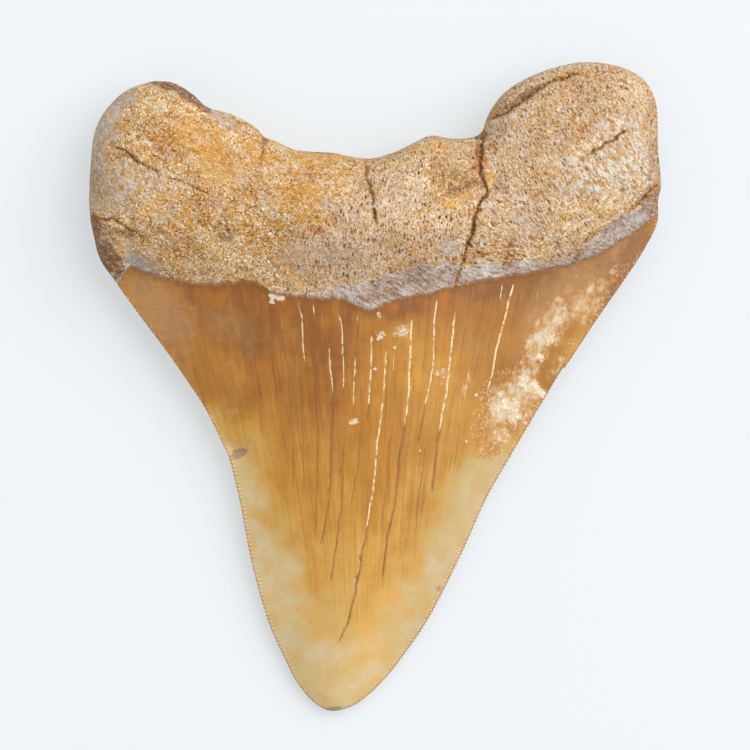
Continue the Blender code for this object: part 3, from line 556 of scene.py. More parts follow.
        (49, 21.5, 8, 1.4, 57, 0.4), (-40.5, 35.5, 3, 0.6, -30, 0.5), (-30, 29.5, 2.2, 0.7, -25, 0.6),
        (-26, 39, 2, 0.8, -30, 0.45),
    ),
    "lilac": (
        (-51.5, 38.5, 5, 6.5, 0, 0.6), (-55.8, 44, 3, 11, 0, 0.6), (-47, 24.8, 5.2, 1.6, -12, 0.9),
        (-50.5, 57.2, 6, 2.6, 42, 0.6), (-30, 53, 7, 1.8, -28, 0.6), (-52.5, 28, 2.6, 3, 30, 0.4),
        (-13, 46, 8, 1.2, 0, 0.4), (-53.6, 51, 3.2, 5, -20, 0.6), (-40, 58.5, 6, 1.6, -8, 0.5),
        # (49, 42) below and (52, 52) after it are painted shade: they grey the right lobe's slope that faces
        # the lamp.
        (14, 27.5, 4.5, 4, 0, 0.5), (36, 38.5, 9, 3, 20, 0.4), (31, 33, 6, 5, 0, 0.5), (49, 42, 6, 3, 0, 0.4),
        (5, 40, 3, 6, 0, 0.3), (52, 52, 4, 8, 10, 0.3),
    ),
}
RIM_NOISE = ((1.4, 0.26), (0.5, 0.22))
FIRM_FADE = (0.55, 1.15)
RIM_FADE = {
    "haze": (0.1, 1.35), "ochre": (0.3, 1.25), "film": (0.0, 1.5), "lilac": (0.2, 1.4), "yellow": (0.3, 1.4),
}
LILAC_BAND = (
    (-58, 2.5), (-50, 2.6), (-42, 1.6), (-30, 0.6), (-14, 0.8), (-7, 3.5), (0, 6), (9, 6.5), (14, 6), (19, 4),
    (26, 3.6), (36, 2.2), (46, 4.4), (54, 4.6), (58, 2.5),
)


def mark(points, name):
    """How strongly a family of marks shows at each point, from 0 to 1."""
    found = np.zeros(len(points))
    full, none = RIM_FADE.get(name, FIRM_FADE)
    for x, y, half_length, half_width, turn, strength in MARKS[name]:
        near = np.abs(points - (x, y)).max(axis=1) < 1.5 * max(half_length, half_width)
        away = points[near] - (x, y)
        c, s = math.cos(math.radians(turn)), math.sin(math.radians(turn))
        along, aside = away[:, 0] * c + away[:, 1] * s, away[:, 1] * c - away[:, 0] * s
        reach = np.hypot(along / half_length, aside / half_width)
        for size, amount in RIM_NOISE:
            reach += amount * ripple(points[near], size, x + y)
        found[near] = np.maximum(found[near], strength * (1 - smooth_step(full, none, reach)))
    return found


# %% [markdown]
# ## A dense skin
#
# One pixel shows a fifth of a millimetre, so the skin needs vertices about that far apart where it is
# rough, and fewer where it is smooth. A sculpted grid would waste them. Here the plan is filled with points
# (rings that follow the outline, rows along every crack, a lattice between them) and joined by a Delaunay
# triangulation, once for the face that is up and once for the face that is down. Both share the rim, so the
# skin is closed.

# %% Rings that follow the rim
SERRATION_PITCH = 0.8
POINTS_PER_SERRATION = 4
ROOT_RIM_STEP = 0.36
BLADE_INSETS = (0.10, 0.24, 0.42, 0.66, 0.96, 1.34, 1.8)
ROOT_TURN = 0.073
SHOULDER_FADE = 3.0
SHARPNESS = ((-65, 0.25), (-58, 0.5), (-50, 1), (-16, 1), (-4, 0.5), (10, 0.3), (34, 0.3))


def rim_places():
    """Where on the outline the rim's points are, as places between its points."""
    serrations = round(EDGE_LENGTH / SERRATION_PITCH)
    root_count = round((len(OUTLINE) * OUTLINE_STEP - EDGE_LENGTH) / ROOT_RIM_STEP)
    blade = np.linspace(0, RIGHT_SHOULDER, serrations * POINTS_PER_SERRATION, endpoint=False)
    return np.concatenate([blade, np.linspace(RIGHT_SHOULDER, len(OUTLINE), root_count, endpoint=False)])


def on_blade(place):
    """1 along the cutting edges, fading to 0 at the shoulders."""
    from_end = np.minimum(place, RIGHT_SHOULDER - place) * OUTLINE_STEP
    return smooth_step(0, SHOULDER_FADE, from_end)


def ring_loops(places):
    """The rim and the loops inside it, one after another, each with a point for every point of the rim."""
    closed = np.concatenate([OUTLINE, OUTLINE[:1]])
    stations = np.arange(len(closed))
    loop = np.stack([np.interp(places, stations, closed[:, k]) for k in range(2)], axis=1)
    share = on_blade(places)
    loops, reached = [loop], np.zeros(len(places))
    for k, blade_inset in enumerate(BLADE_INSETS):
        root_inset = UPPER_ROUNDING * (1 - math.cos((k + 1) * ROOT_TURN))
        inset = root_inset + (blade_inset - root_inset) * share
        loop = loop + inward(loop) * (inset - reached)[:, None]
        for _ in range(2):
            loop = (np.roll(loop, 1, axis=0) + 2 * loop + np.roll(loop, -1, axis=0)) / 4
        reached = inset
        loops.append(loop)
    return loops


RIM_PLACES = rim_places()
LOOPS = ring_loops(RIM_PLACES)
print(f"{len(LOOPS)} loops of {len(RIM_PLACES)} points follow the rim")


# %% Rows and lattices of points
MARGIN_COLUMNS = range(-57, 58, 3)
MARGIN_ROW_STEP = 0.3
MARGIN_SIDE = 0.26
BREAK_ROW_STEP = 0.4
UPPER_SPACING = {"root": 0.34, "blade": 0.56}
LOWER_SPACING = {"root": 0.85, "blade": 1.1}
UPPER_CLEARANCE = {"root": 0.2, "blade": 0.3}
LOWER_CLEARANCE = {"root": 0.45, "blade": 0.5}
ROOT_INSET = 1.2
LATTICE_GAP = 0.7
VEIN_CLEARANCE, SPOT_CLEARANCE = 0.6, 0.12
SPOT_SPACING = 0.24
SPOT_LIMIT, SPOT_TOP, SPOT_BORDER = 2.2, 23, 0.3
LATTICE_JITTER = 0.16
ROW_CLEARANCE = 2.0


def beside(middle, *asides):
    """Rows of points at these distances to the side of a row."""
    tangent = unit(np.gradient(middle, axis=0))
    normal = np.stack([-tangent[:, 1], tangent[:, 0]], axis=1)
    return [middle + normal * aside for aside in asides]


def lattice(spacing, low, high, seed):
    """A slightly shaken triangular lattice of points in a box."""
    row_gap = spacing * math.sqrt(0.75)
    x, y = np.meshgrid(np.arange(low[0], high[0], spacing), np.arange(low[1], high[1], row_gap))
    x = x + (np.arange(len(y)) % 2)[:, None] * spacing / 2
    points = np.stack([x.ravel(), y.ravel()], axis=1)
    return points + np.random.default_rng(seed).normal(0, LATTICE_JITTER * spacing, points.shape)


def well_inside(points, margin):
    """Those of the points that lie within the outline by more than `margin`."""
    return points[inside(points, *nearest(points, OUTLINE, closed=True), margin)]


def margin_rows(margin):
    """Rows along the enamel's end and on either side of it, for the step to be sharp."""
    knots = [(x, through(margin, np.array([x]))[0]) for x in MARGIN_COLUMNS]
    x = catmull_rom(knots, MARGIN_ROW_STEP)[:, 0]
    level = margin_height(margin, x)
    return [np.stack([x, level + aside], axis=1) for aside in (-MARGIN_SIDE, 0, MARGIN_SIDE)]


def grid_points(margin, spacing, clearance, seed):
    """The lattices inside the rings, fine on the root and coarser on the blade, each with its clearance."""
    low, high = OUTLINE.min(axis=0), OUTLINE.max(axis=0)
    kept = []
    for part, side in (("root", 1), ("blade", -1)):
        points = lattice(spacing[part], low, high, seed)
        points = points[above_margin(points, margin) * side > MARGIN_SIDE]
        inset = (ROOT_INSET if part == "root" else BLADE_INSETS[-1]) + spacing[part] * LATTICE_GAP
        kept.append((well_inside(points, inset), clearance[part]))
    return kept


def thinned(groups, taken):
    """The points of each group in turn that are not too near one already taken."""
    kept = []
    for points, clearance in groups:
        find = tree_of(taken).find
        free = points[[find((x, y, 0.0))[2] > clearance for x, y in points]]
        kept.append(free)
        taken = np.concatenate([taken, free])
    return np.concatenate(kept)


# %% Fill the plan of one face with triangles
def fill(loop, rows, groups):
    """Triangles inside a loop, with edges along the rows. Gives the points inside it, and the triangles."""
    fixed, edges = [loop], []
    count = len(loop)
    for row in rows:
        clear = inside(row, *nearest(row, OUTLINE, closed=True), ROW_CLEARANCE)
        kept = np.cumsum(clear) - 1 + count
        edges += [(int(kept[i]), int(kept[i + 1])) for i in range(len(row) - 1) if clear[i] and clear[i + 1]]
        fixed.append(row[clear])
        count += int(clear.sum())
    fixed = np.concatenate(fixed)
    points = np.concatenate([fixed, thinned(groups, fixed)])
    outer = list(range(len(loop)))
    made = delaunay_2d_cdt([Vector(p) for p in points], edges, [outer], 1, 1e-6)
    order, extra = [], []
    for place, origins in zip(made[0], made[3]):
        if origins and min(origins) < len(loop):
            order.append(min(origins))
        else:
            order.append(len(loop) + len(extra))
            extra.append(place[:])
    return np.array(extra), [[order[i] for i in face] for face in made[2]]


def upper_fill():
    """The face that is up, with rows along the cracks and fine lattices at the small marks of the blade."""
    rows = margin_rows(UPPER_MARGIN)
    rows += beside(catmull_rom(BREAK_LINE, BREAK_ROW_STEP), BREAK_RUN / 2, -BREAK_RUN / 2)
    veins, spots = [], []
    for half_width, _, _, line in VEINS:
        for row in beside(catmull_rom(line, VEIN_STEP), 0, half_width, -half_width):
            veins.append((well_inside(row, ROW_CLEARANCE), half_width * VEIN_CLEARANCE))
    for family in MARKS.values():
        for x, y, a, b, _, _ in family:
            if max(a, b) < SPOT_LIMIT and y < SPOT_TOP:
                low = (x - a - SPOT_BORDER, y - a - SPOT_BORDER)
                high = (x + a + SPOT_BORDER, y + a + SPOT_BORDER)
                spot = lattice(SPOT_SPACING, low, high, 5)
                spots.append((well_inside(spot, ROW_CLEARANCE), SPOT_CLEARANCE))
    grid = grid_points(UPPER_MARGIN, UPPER_SPACING, UPPER_CLEARANCE, 1)
    return fill(LOOPS[-1], rows, veins + spots + grid)


def lower_fill():
    """The face that is down, which nobody looks at closely: wider lattices, and one more ring."""
    ring = [(LOOPS[-1][::3] + inward(LOOPS[-1])[::3] * 0.6, 0.4)]
    grid = grid_points(LOWER_MARGIN, LOWER_SPACING, LOWER_CLEARANCE, 2)
    return fill(LOOPS[-1], margin_rows(LOWER_MARGIN), ring + grid)


UPPER, UPPER_FACES = upper_fill()
LOWER, LOWER_FACES = lower_fill()
print(f"the upper face has {len(UPPER_FACES)} triangles inside the loops, the lower face {len(LOWER_FACES)}")

# %% Join the two faces at the rim
LOOP_COUNT = len(LOOPS[0])
plan = np.concatenate([*LOOPS, UPPER, *LOOPS[1:], LOWER])
first_lower = len(LOOPS) * LOOP_COUNT + len(UPPER)
is_lower = np.arange(len(plan)) >= first_lower
gap, edge_place = nearest(plan, OUTLINE, closed=True)
gap[:LOOP_COUNT] = 0
past = np.where(is_lower, above_margin(plan, LOWER_MARGIN), above_margin(plan, UPPER_MARGIN))
height = np.zeros(len(plan))
height[~is_lower] = upper_height(plan[~is_lower], gap[~is_lower], past[~is_lower])
height[is_lower] = lower_height(plan[is_lower], gap[is_lower], past[is_lower])
height[:LOOP_COUNT] = through(RIM_HEIGHT, plan[:LOOP_COUNT, 1])


def strips(starts):
    """Quads between one loop and the next, given where each loop's points start in the plan."""
    near = np.arange(LOOP_COUNT)
    far = (near + 1) % LOOP_COUNT
    quads = [np.stack([a + near, a + far, b + far, b + near], axis=1) for a, b in zip(starts, starts[1:])]
    return np.concatenate(quads)


def side_faces(starts, filled):
    """The quads between one side's loops, then the triangles inside the last. Their points follow its own."""
    last, rest = starts[-1], starts[-1] + LOOP_COUNT
    inner = [[i + last if i < LOOP_COUNT else i - LOOP_COUNT + rest for i in face] for face in filled]
    return strips(starts).tolist() + inner


faces = side_faces([k * LOOP_COUNT for k in range(len(LOOPS))], UPPER_FACES)
below = side_faces([0] + [first_lower + k * LOOP_COUNT for k in range(len(LOOPS) - 1)], LOWER_FACES)
faces += [face[::-1] for face in below]
skin = bpy.data.meshes.new("tooth_skin")
skin.from_pydata((np.column_stack([plan, height]) * MM).tolist(), [], faces)
skin.polygons.foreach_set("use_smooth", np.ones(len(faces), bool))
print(f"the skin has {len(plan)} points and {sum(len(face) - 2 for face in faces)} triangles")

# %% [markdown]
# ## Numbers that the relief and the paint share
#
# A crack has to be dark exactly where it is deep. So everything that depends on place is worked out once,
# here, and stored on the skin as named attributes, which Geometry Nodes and the materials both read.

# %% Where the enamel is amber and the root is sandy
AMBER_LEFT = (
    (-58, -10), (-46, -12.5), (-41, -14.5), (-35, -18.5), (-27, -22), (-20, -25), (-15, -28.5), (-11, -33),
    (-4, -42), (2, -52),
)
AMBER_RIGHT = (
    (-58, -3), (-46, 1), (-40, 5), (-33, 9.5), (-27, 12.5), (-21, 14.5), (-16, 18), (-12, 24), (-8, 33),
    (-2, 44), (4, 55),
)
AMBER_FADE = 6.0
AMBER_DEPTH = (
    (-60, 0.22), (-50, 0.31), (-43, 0.36), (-35, 0.42), (-27, 0.48), (-19, 0.57), (-11, 0.64), (-3, 0.78),
    (5, 0.88), (13, 0.93), (22, 0.98),
)
# The pale straw outside the amber core, at the tip and the thin edges, is partly the enamel's own colour and
# partly painted light: the white table's light shining through the thin enamel.
PALE_DEPTH = ((-60, 0.12), (-40, 0.06), (-20, 0.1), (0, 0.35), (10, 0.55))
SAND_END = ((16, -19), (24, -17), (30, -15), (35, -9), (40, -4), (48, -2))
CLOUDS = (
    (10, 4, 12, 10, -0.35), (17, -8, 6, 7, -0.12), (22, 12, 6, 9, -0.18), (-30, -8, 6, 6, -0.3),
    (-34, 6, 6, 4, -0.08), (-45, 17, 6, 3, -0.18), (-22, 14, 10, 3, 0.1), (-10, 2, 7, 9, 0.12),
    (-27, 9, 3, 2, 0.1), (3, 15, 7, 2, 0.14), (31, 22, 8, 2.5, 0.1), (1, -14, 4, 6, 0.05),
    (41, 19, 5, 6, -0.06), (48, 24, 6, 6, 0.22), (-1, -24, 3, 5, 0.06), (10, -44, 5, 9, 0.08),
    (-20, -34, 5, 12, -0.08), (-48, 20, 5, 4, -0.1), (39.5, 8, 4.5, 7, -0.52), (0, -47, 5, 4, 0.1),
    (-24, -16, 5.5, 7, -0.2), (11.5, -17, 5, 6, -0.12), (-36, 3, 4, 6, -0.1), (-12, 14, 4, 4, -0.05),
)


# %% How strongly each thing shows
def vein_strengths(points):
    """The pale and the dark part of the enamel's cracks at each point."""
    points = ragged(points, ((2.0, 0.09), (0.5, 0.03)))
    pale, dark = np.zeros(len(points)), np.zeros(len(points))
    for half_width, pale_until, strength, line in VEINS:
        curve = catmull_rom(line, VEIN_STEP)
        far, along = near_line(points, curve, half_width * 2)
        taper = smooth_step(0, 4, along) * smooth_step(0, 6, len(curve) - 1 - along)
        shows = strength * taper * np.clip(1 - far / (half_width * VEIN_SPREAD), 0, 1)
        filled = smooth_step(pale_until - 2.0, pale_until + 1.0, points[:, 1]) * (pale_until < 19)
        pale = np.maximum(pale, shows * filled)
        dark = np.maximum(dark, shows * (1 - 0.6 * filled))
    return pale, dark


def lilac_strength(points, beyond):
    """The smooth band of old lilac mineral on the root, along the enamel's end."""
    width = through(LILAC_BAND, points[:, 0])
    width = width + 1.2 * ripple(points, 4.0, 11.0) + 0.6 * ripple(points, 1.3, 12.0)
    return smooth_step(-0.1, 0.4, beyond) * (1 - smooth_step(width - 1.6, width + 0.4, beyond))


def amber_depth(points):
    """How deeply the enamel is stained, from 0 (pale straw, partly painted light through the thin edges and
    tip) to 1 (dark amber).
    """
    x, y = ragged(points, ((8.0, 4.5), (3.0, 1.2))).T
    core = smooth_step(-AMBER_FADE, AMBER_FADE, x - through(AMBER_LEFT, y))
    core *= smooth_step(-AMBER_FADE, AMBER_FADE, through(AMBER_RIGHT, y) - x) * smooth_step(-58, -44, y)
    depth = core * through(AMBER_DEPTH, y) + (1 - core) * through(PALE_DEPTH, y)
    for cloud_x, cloud_y, width, length, amount in CLOUDS:
        depth += amount * bell(np.stack([x, y], axis=1), (cloud_x, cloud_y), (width, length))
    return depth


SAND_RAGGEDNESS = ((6.0, 5, 31.0), (2.0, 2, 33.0))
SAND_FADE = (-9, 8)
SAND_IN_YELLOW = 0.6
BARE_HOLLOW, BARE_END, BARE_LILAC = 0.6, 0.75, 0.8
BARE_FROM, BARE_TO = 52, 56


def sand_strength(points, lilac):
    """How much sand is cemented on: most on the left lobe, little in the hollow, far left and under lilac."""
    past_end = points[:, 0] - through(SAND_END, points[:, 1])
    for size, reach, seed in SAND_RAGGEDNESS:
        past_end = past_end + reach * ripple(points, size, seed)
    sand = np.maximum(1 - smooth_step(*SAND_FADE, past_end), SAND_IN_YELLOW * mark(points, "yellow"))
    sand *= 1 - BARE_HOLLOW * bell(points, *PIT[:2])
    sand *= 1 - BARE_END * smooth_step(BARE_FROM, BARE_TO, -points[:, 0])
    return sand * (1 - BARE_LILAC * lilac)


# %% Store them on the skin
def store(mesh, name, values, kind="FLOAT"):
    field = {"FLOAT": "value", "FLOAT_VECTOR": "vector", "BOOLEAN": "value"}[kind]
    domain = "FACE" if kind == "BOOLEAN" else "POINT"
    mesh.attributes.new(name, kind, domain).data.foreach_set(field, np.ascontiguousarray(values).ravel())


upper_side = (~is_lower).astype(float)
pale_vein, dark_vein = vein_strengths(plan)
lilac = np.maximum(lilac_strength(plan, past), mark(plan, "lilac"))
attributes = {
    "edge": gap,
    "along": edge_place * OUTLINE_STEP,
    "on_blade": on_blade(edge_place) * through(SHARPNESS, plan[:, 1]),
    "past": past,
    "amber": amber_depth(plan),
    "pale_vein": pale_vein * upper_side,
    "dark_vein": dark_vein * upper_side,
    "crack": crack_depths(plan)[1] * upper_side,
    "sandy": sand_strength(plan, lilac),
    "lilac": lilac,
    "top": upper_side,
}
for name in ("white", "haze", "film"):
    attributes[name] = mark(plan, name) * upper_side
for name in ("rust", "ochre", "yellow", "dark"):
    attributes[name] = mark(plan, name)
for name, values in attributes.items():
    store(skin, name, values)
outward = np.zeros((len(plan), 3))
outward[:, :2] = -inward(OUTLINE)[edge_place.astype(int) % len(OUTLINE)]
store(skin, "outward", outward, "FLOAT_VECTOR")
store(skin, "grown", np.column_stack([plan, height]), "FLOAT_VECTOR")
middles = np.array([np.mean(past[face]) for face in faces])
store(skin, "is_root", middles > 0, "BOOLEAN")
tooth = bpy.data.objects.new("tooth_surface", skin)
bpy.context.scene.collection.objects.link(tooth)
print("attributes:", ", ".join(attributes))

# %% [markdown]
# ## Node trees written as expressions
#
# A material or a Geometry Nodes tree is maths on sockets, so it reads best as maths. `Signal` wraps one
# output socket and turns Python's operators into Math nodes, and `Graph` adds any other node from its type,
# its settings and what its sockets get. The same two classes serve the relief and the paint.

# %% One socket as a number
class Signal:
    """An output socket. Python's operators on it add Math nodes to its tree."""

    def __init__(self, graph, socket):
        self.graph, self.socket = graph, socket

    def __add__(self, other):
        return self.graph.math("ADD", self, other)

    def __sub__(self, other):
        return self.graph.math("SUBTRACT", self, other)

    def __rsub__(self, other):
        return self.graph.math("SUBTRACT", other, self)

    def __mul__(self, other):
        return self.graph.math("MULTIPLY", self, other)

    def __truediv__(self, other):
        return self.graph.math("DIVIDE", self, other)

    def __rtruediv__(self, other):
        return self.graph.math("DIVIDE", other, self)

    def __pow__(self, other):
        return self.graph.math("POWER", self, other)

    __radd__, __rmul__ = __add__, __mul__


class Graph:
    """A node tree, of a material or of Geometry Nodes."""

    def __init__(self, tree):
        self.tree = tree

    def node(self, kind, settings=None, sockets=None):
        """A node of one kind: its settings first, then the values or links of its sockets."""
        made = self.tree.nodes.new(kind)
        for name, value in (settings or {}).items():
            setattr(made, name, value)
        for name, value in (sockets or {}).items():
            if isinstance(value, Signal):
                self.tree.links.new(value.socket, made.inputs[name])
            else:
                made.inputs[name].default_value = value
        return made

    def get(self, kind, settings=None, sockets=None, output=0):
        return Signal(self, self.node(kind, settings, sockets).outputs[output])

    def math(self, operation, *values):
        return self.get("ShaderNodeMath", {"operation": operation}, dict(enumerate(values)))

    def vector(self, operation, *values):
        return self.get("ShaderNodeVectorMath", {"operation": operation}, dict(enumerate(values)))

    def scaled(self, vector, factor):
        """A vector made longer by a factor."""
        return self.get("ShaderNodeVectorMath", {"operation": "SCALE"}, {"Vector": vector, "Scale": factor})

    def parts(self, vector):
        """The three numbers in a vector or a colour."""
        return [Signal(self, part) for part in self.node("ShaderNodeSeparateXYZ", None, {0: vector}).outputs]

    def joined(self, x, y, z=0.0):
        return self.get("ShaderNodeCombineXYZ", None, {0: x, 1: y, 2: z})

    def stretched(self, place, x, y, z=1.0):
        """A place with its axes multiplied, to stretch a pattern."""
        return self.vector("MULTIPLY", place, (x, y, z))

    def slanted(self, place, slope):
        """A place with `slope` times its x added to its y: rows of a pattern then run down to the right."""
        x, y, z = self.parts(place)
        return self.joined(x, y + x * slope, z)

    def fade(self, low, high, value):
        """0 below `low`, 1 above `high`, and smooth between them. `low` may be above `high`."""
        return self.get("ShaderNodeMapRange", {"interpolation_type": "SMOOTHSTEP"},
                        {"Value": value, "From Min": low, "From Max": high})

    def noise(self, place, scale, detail=2.0, roughness=0.5):
        """Cloudy noise around 0.5, with lumps of 1 / scale."""
        return self.get("ShaderNodeTexNoise", None,
                        {"Vector": place, "Scale": scale, "Detail": detail, "Roughness": roughness})

    def wave(self, place, *sizes):
        """The same noise around 0."""
        return self.noise(place, *sizes) - 0.5

    def cells(self, place, scale):
        """Voronoi cells: how far the middle of a place's cell is, and three random numbers for the cell."""
        made = self.node("ShaderNodeTexVoronoi", None, {"Vector": place, "Scale": scale})
        return Signal(self, made.outputs["Distance"]), *self.parts(Signal(self, made.outputs["Color"]))


# %% Grain and pores of the bone
LEAN_START, LEAN_END, LEAN, LEAN_HEIGHT = 12.0, 34.0, 0.55, 45.0
SAND_SLOPE = 0.45
PORE_STRETCH = (1.35, 0.66, 0.3)
PORE_SPACING, PRICK_SPACING = 0.95, 0.6
PORES = (0.46, 0.70)
PRICKS = (0.46, 0.85)


def bone_grain(graph, place):
    """The place, leaning over on the right lobe, because the bone's vessels run up the root and into it."""
    x, y, z = graph.parts(place)
    lean = graph.fade(LEAN_START, LEAN_END, x) * LEAN
    return graph.joined(x + (y - LEAN_HEIGHT) * lean, y, z)


def pores_of(graph, place, spacing, wide, share):
    """Pores, one to a cell, in a share of the cells and none wider than `wide` cells.
    Gives a number that is 1 at the bottom of each pore, and a random number for each."""
    distance, size, chance, tone = graph.cells(graph.stretched(place, *PORE_STRETCH), 1 / spacing)
    rim = wide * (0.45 + size * 0.55)
    return graph.fade(rim, rim * 0.35, distance) * graph.fade(share, share - 0.05, chance), tone


# %% [markdown]
# ## Weathering by Geometry Nodes
#
# Serrations repeat along the cutting edge, and sand, pits and striations repeat over the faces. Each is a
# rule, so Geometry Nodes make them: the tree moves the skin's vertices by heights worked out from the
# attributes. Its inputs are the sizes that a maker would want to change. The two materials go on by the
# attribute that tells root from enamel, and the result is turned into a plain mesh.

# %% Helpers for Geometry Nodes
def field_of(graph, name, kind="FLOAT"):
    return graph.get("GeometryNodeInputNamedAttribute", {"data_type": kind}, {"Name": name})


def node_group(name, sizes):
    """A Geometry Nodes tree with a geometry going in and out. Gives its graph and its inputs, by name."""
    tree = bpy.data.node_groups.new(name, "GeometryNodeTree")
    tree.interface.new_socket("Geometry", in_out="INPUT", socket_type="NodeSocketGeometry")
    tree.interface.new_socket("Geometry", in_out="OUTPUT", socket_type="NodeSocketGeometry")
    for label, value in sizes.items():
        kind = "NodeSocketMaterial" if isinstance(value, bpy.types.Material) else "NodeSocketFloat"
        tree.interface.new_socket(label, in_out="INPUT", socket_type=kind)
    graph = Graph(tree)
    source = graph.node("NodeGroupInput")
    return graph, {socket.name: Signal(graph, socket) for socket in source.outputs if socket.name}


def grown_with(obj, graph, sizes, name):
    """The mesh that a tree makes from an object, as a plain one. Inputs are set before it is evaluated."""
    modifier = obj.modifiers.new("nodes", "NODES")
    modifier.node_group = graph.tree
    for item in graph.tree.interface.items_tree:
        if item.item_type == "SOCKET" and item.in_out == "INPUT" and item.name in sizes:
            modifier[item.identifier] = sizes[item.name]
    depsgraph = bpy.context.evaluated_depsgraph_get()
    mesh = bpy.data.meshes.new_from_object(
        obj.evaluated_get(depsgraph), preserve_all_data_layers=True, depsgraph=depsgraph)
    mesh.name = name
    obj.modifiers.remove(modifier)
    return mesh


# %% Relief of the edge and the enamel
def serrations(graph, size, place, edge):
    """How far the edge's teeth push the rim sideways, and the grooves between them on the faces."""
    wander = graph.wave(place, 0.35) * 0.5
    turns = field_of(graph, "along") / size["Serration pitch"] + wander
    lobe = graph.math("ABSOLUTE", graph.math("SINE", turns * math.pi))
    bite = field_of(graph, "on_blade") * (0.5 + graph.noise(place, 0.5))
    push = (lobe - 0.4) * size["Serration depth"] * bite * graph.fade(0.9, 0.0, edge)
    groove = (lobe - 1) * size["Serration groove"] * bite
    return push, groove * graph.fade(1.5, 0.2, edge) * graph.fade(0.0, 0.12, edge)


def enamel_relief(graph, size, place, edge):
    """Streaks down the blade, its cracks and its chalky flakes."""
    streaks = graph.wave(graph.stretched(place, 1.6, 0.05), 1.0)
    streaks = streaks * size["Streak height"] * graph.fade(0.2, 1.5, edge)
    hollow = 0.2 + graph.noise(place, 1.2) * 0.8
    veins = field_of(graph, "dark_vein") + field_of(graph, "pale_vein") * hollow
    flakes = graph.noise(place, 1.1, 3.0, 0.6) * field_of(graph, "white") * size["Flake height"]
    return streaks - veins * size["Vein depth"] + flakes


# %% Relief of the root
def root_relief(graph, size, place, edge):
    """Lumps, crumbs, pits and grains, calmer under lilac and near the rim, and fissures in the cracks."""
    sandy, open_bone = field_of(graph, "sandy"), 1 - field_of(graph, "lilac") * 0.8
    lumps = graph.wave(place, 0.22, 3.0) * size["Lump height"]
    grains = (0.5 - graph.cells(place, 1 / size["Grain size"])[0]) * size["Grain height"] * sandy
    flow = graph.stretched(graph.slanted(place, SAND_SLOPE), 0.7, 1.3)
    crumbs = graph.wave(flow, 1.4, 3.0, 0.6) * size["Crumb height"] * (0.35 + sandy)
    pits = pores_of(graph, bone_grain(graph, place), size["Pit spacing"], *PORES)[0]
    pits = pits * (1 - sandy) * size["Pit depth"]
    fissure = graph.fade(0.75, 1.0, field_of(graph, "crack")) * size["Fissure depth"]
    calm = 0.3 + 0.7 * graph.fade(0.3, 3.0, edge)
    beyond = graph.fade(0.0, 0.6, field_of(graph, "past"))
    return (lumps + grains + crumbs - pits) * open_bone * calm * beyond - fissure


# %% The weathering tree
def weathering(sizes):
    """Moves the skin: serrations sideways along the edge, everything else in or out along its normals."""
    graph, size = node_group("weathering", sizes)
    place, edge = field_of(graph, "grown", "FLOAT_VECTOR"), field_of(graph, "edge")
    is_root = graph.fade(-0.1, 0.15, field_of(graph, "past"))
    push, groove = serrations(graph, size, place, edge)
    blade = (enamel_relief(graph, size, place, edge) + groove) * (1 - is_root)
    lift = (root_relief(graph, size, place, edge) * is_root + blade) * MM
    aside = graph.scaled(field_of(graph, "outward", "FLOAT_VECTOR"), push * MM)
    offset = graph.vector("ADD", graph.scaled(graph.get("GeometryNodeInputNormal"), lift), aside)
    moved = graph.get("GeometryNodeSetPosition", None, {"Geometry": size["Geometry"], "Offset": offset})
    painted = graph.get("GeometryNodeRealizeInstances", None, {"Geometry": moved})
    rooted = field_of(graph, "is_root", "BOOLEAN")
    covered = graph.get("FunctionNodeBooleanMath", {"operation": "NOT"}, {0: rooted})
    for label, chosen in (("Enamel", covered), ("Root bone", rooted)):
        painted = graph.get("GeometryNodeSetMaterial", None,
                            {"Geometry": painted, "Selection": chosen, "Material": size[label]})
    graph.node("NodeGroupOutput", None, {0: painted})
    return graph


# %% [markdown]
# ## Paint for the enamel
#
# Old enamel is a thin glassy coat over stained dentine. Its colour runs from pale straw at the tip and the
# edges, partly its own colour and partly painted light shining through the thin enamel, to deep amber under
# the root, in soft clouds, with hair-fine streaks along the blade. One ramp holds that whole run, and a
# single number, the amber depth plus noise, chooses the place on it. Cracks, chalky spalls, rust and painted
# shade lie on top.

# %% A material as a graph
def linear(red, green, blue):
    """A colour given as it looks on a screen, from 0 to 255, as the light values that nodes use."""
    lights = [((c / 255 + 0.055) / 1.055) ** 2.4 if c > 10 else c / 3294 for c in (red, green, blue)]
    return (*lights, 1.0)


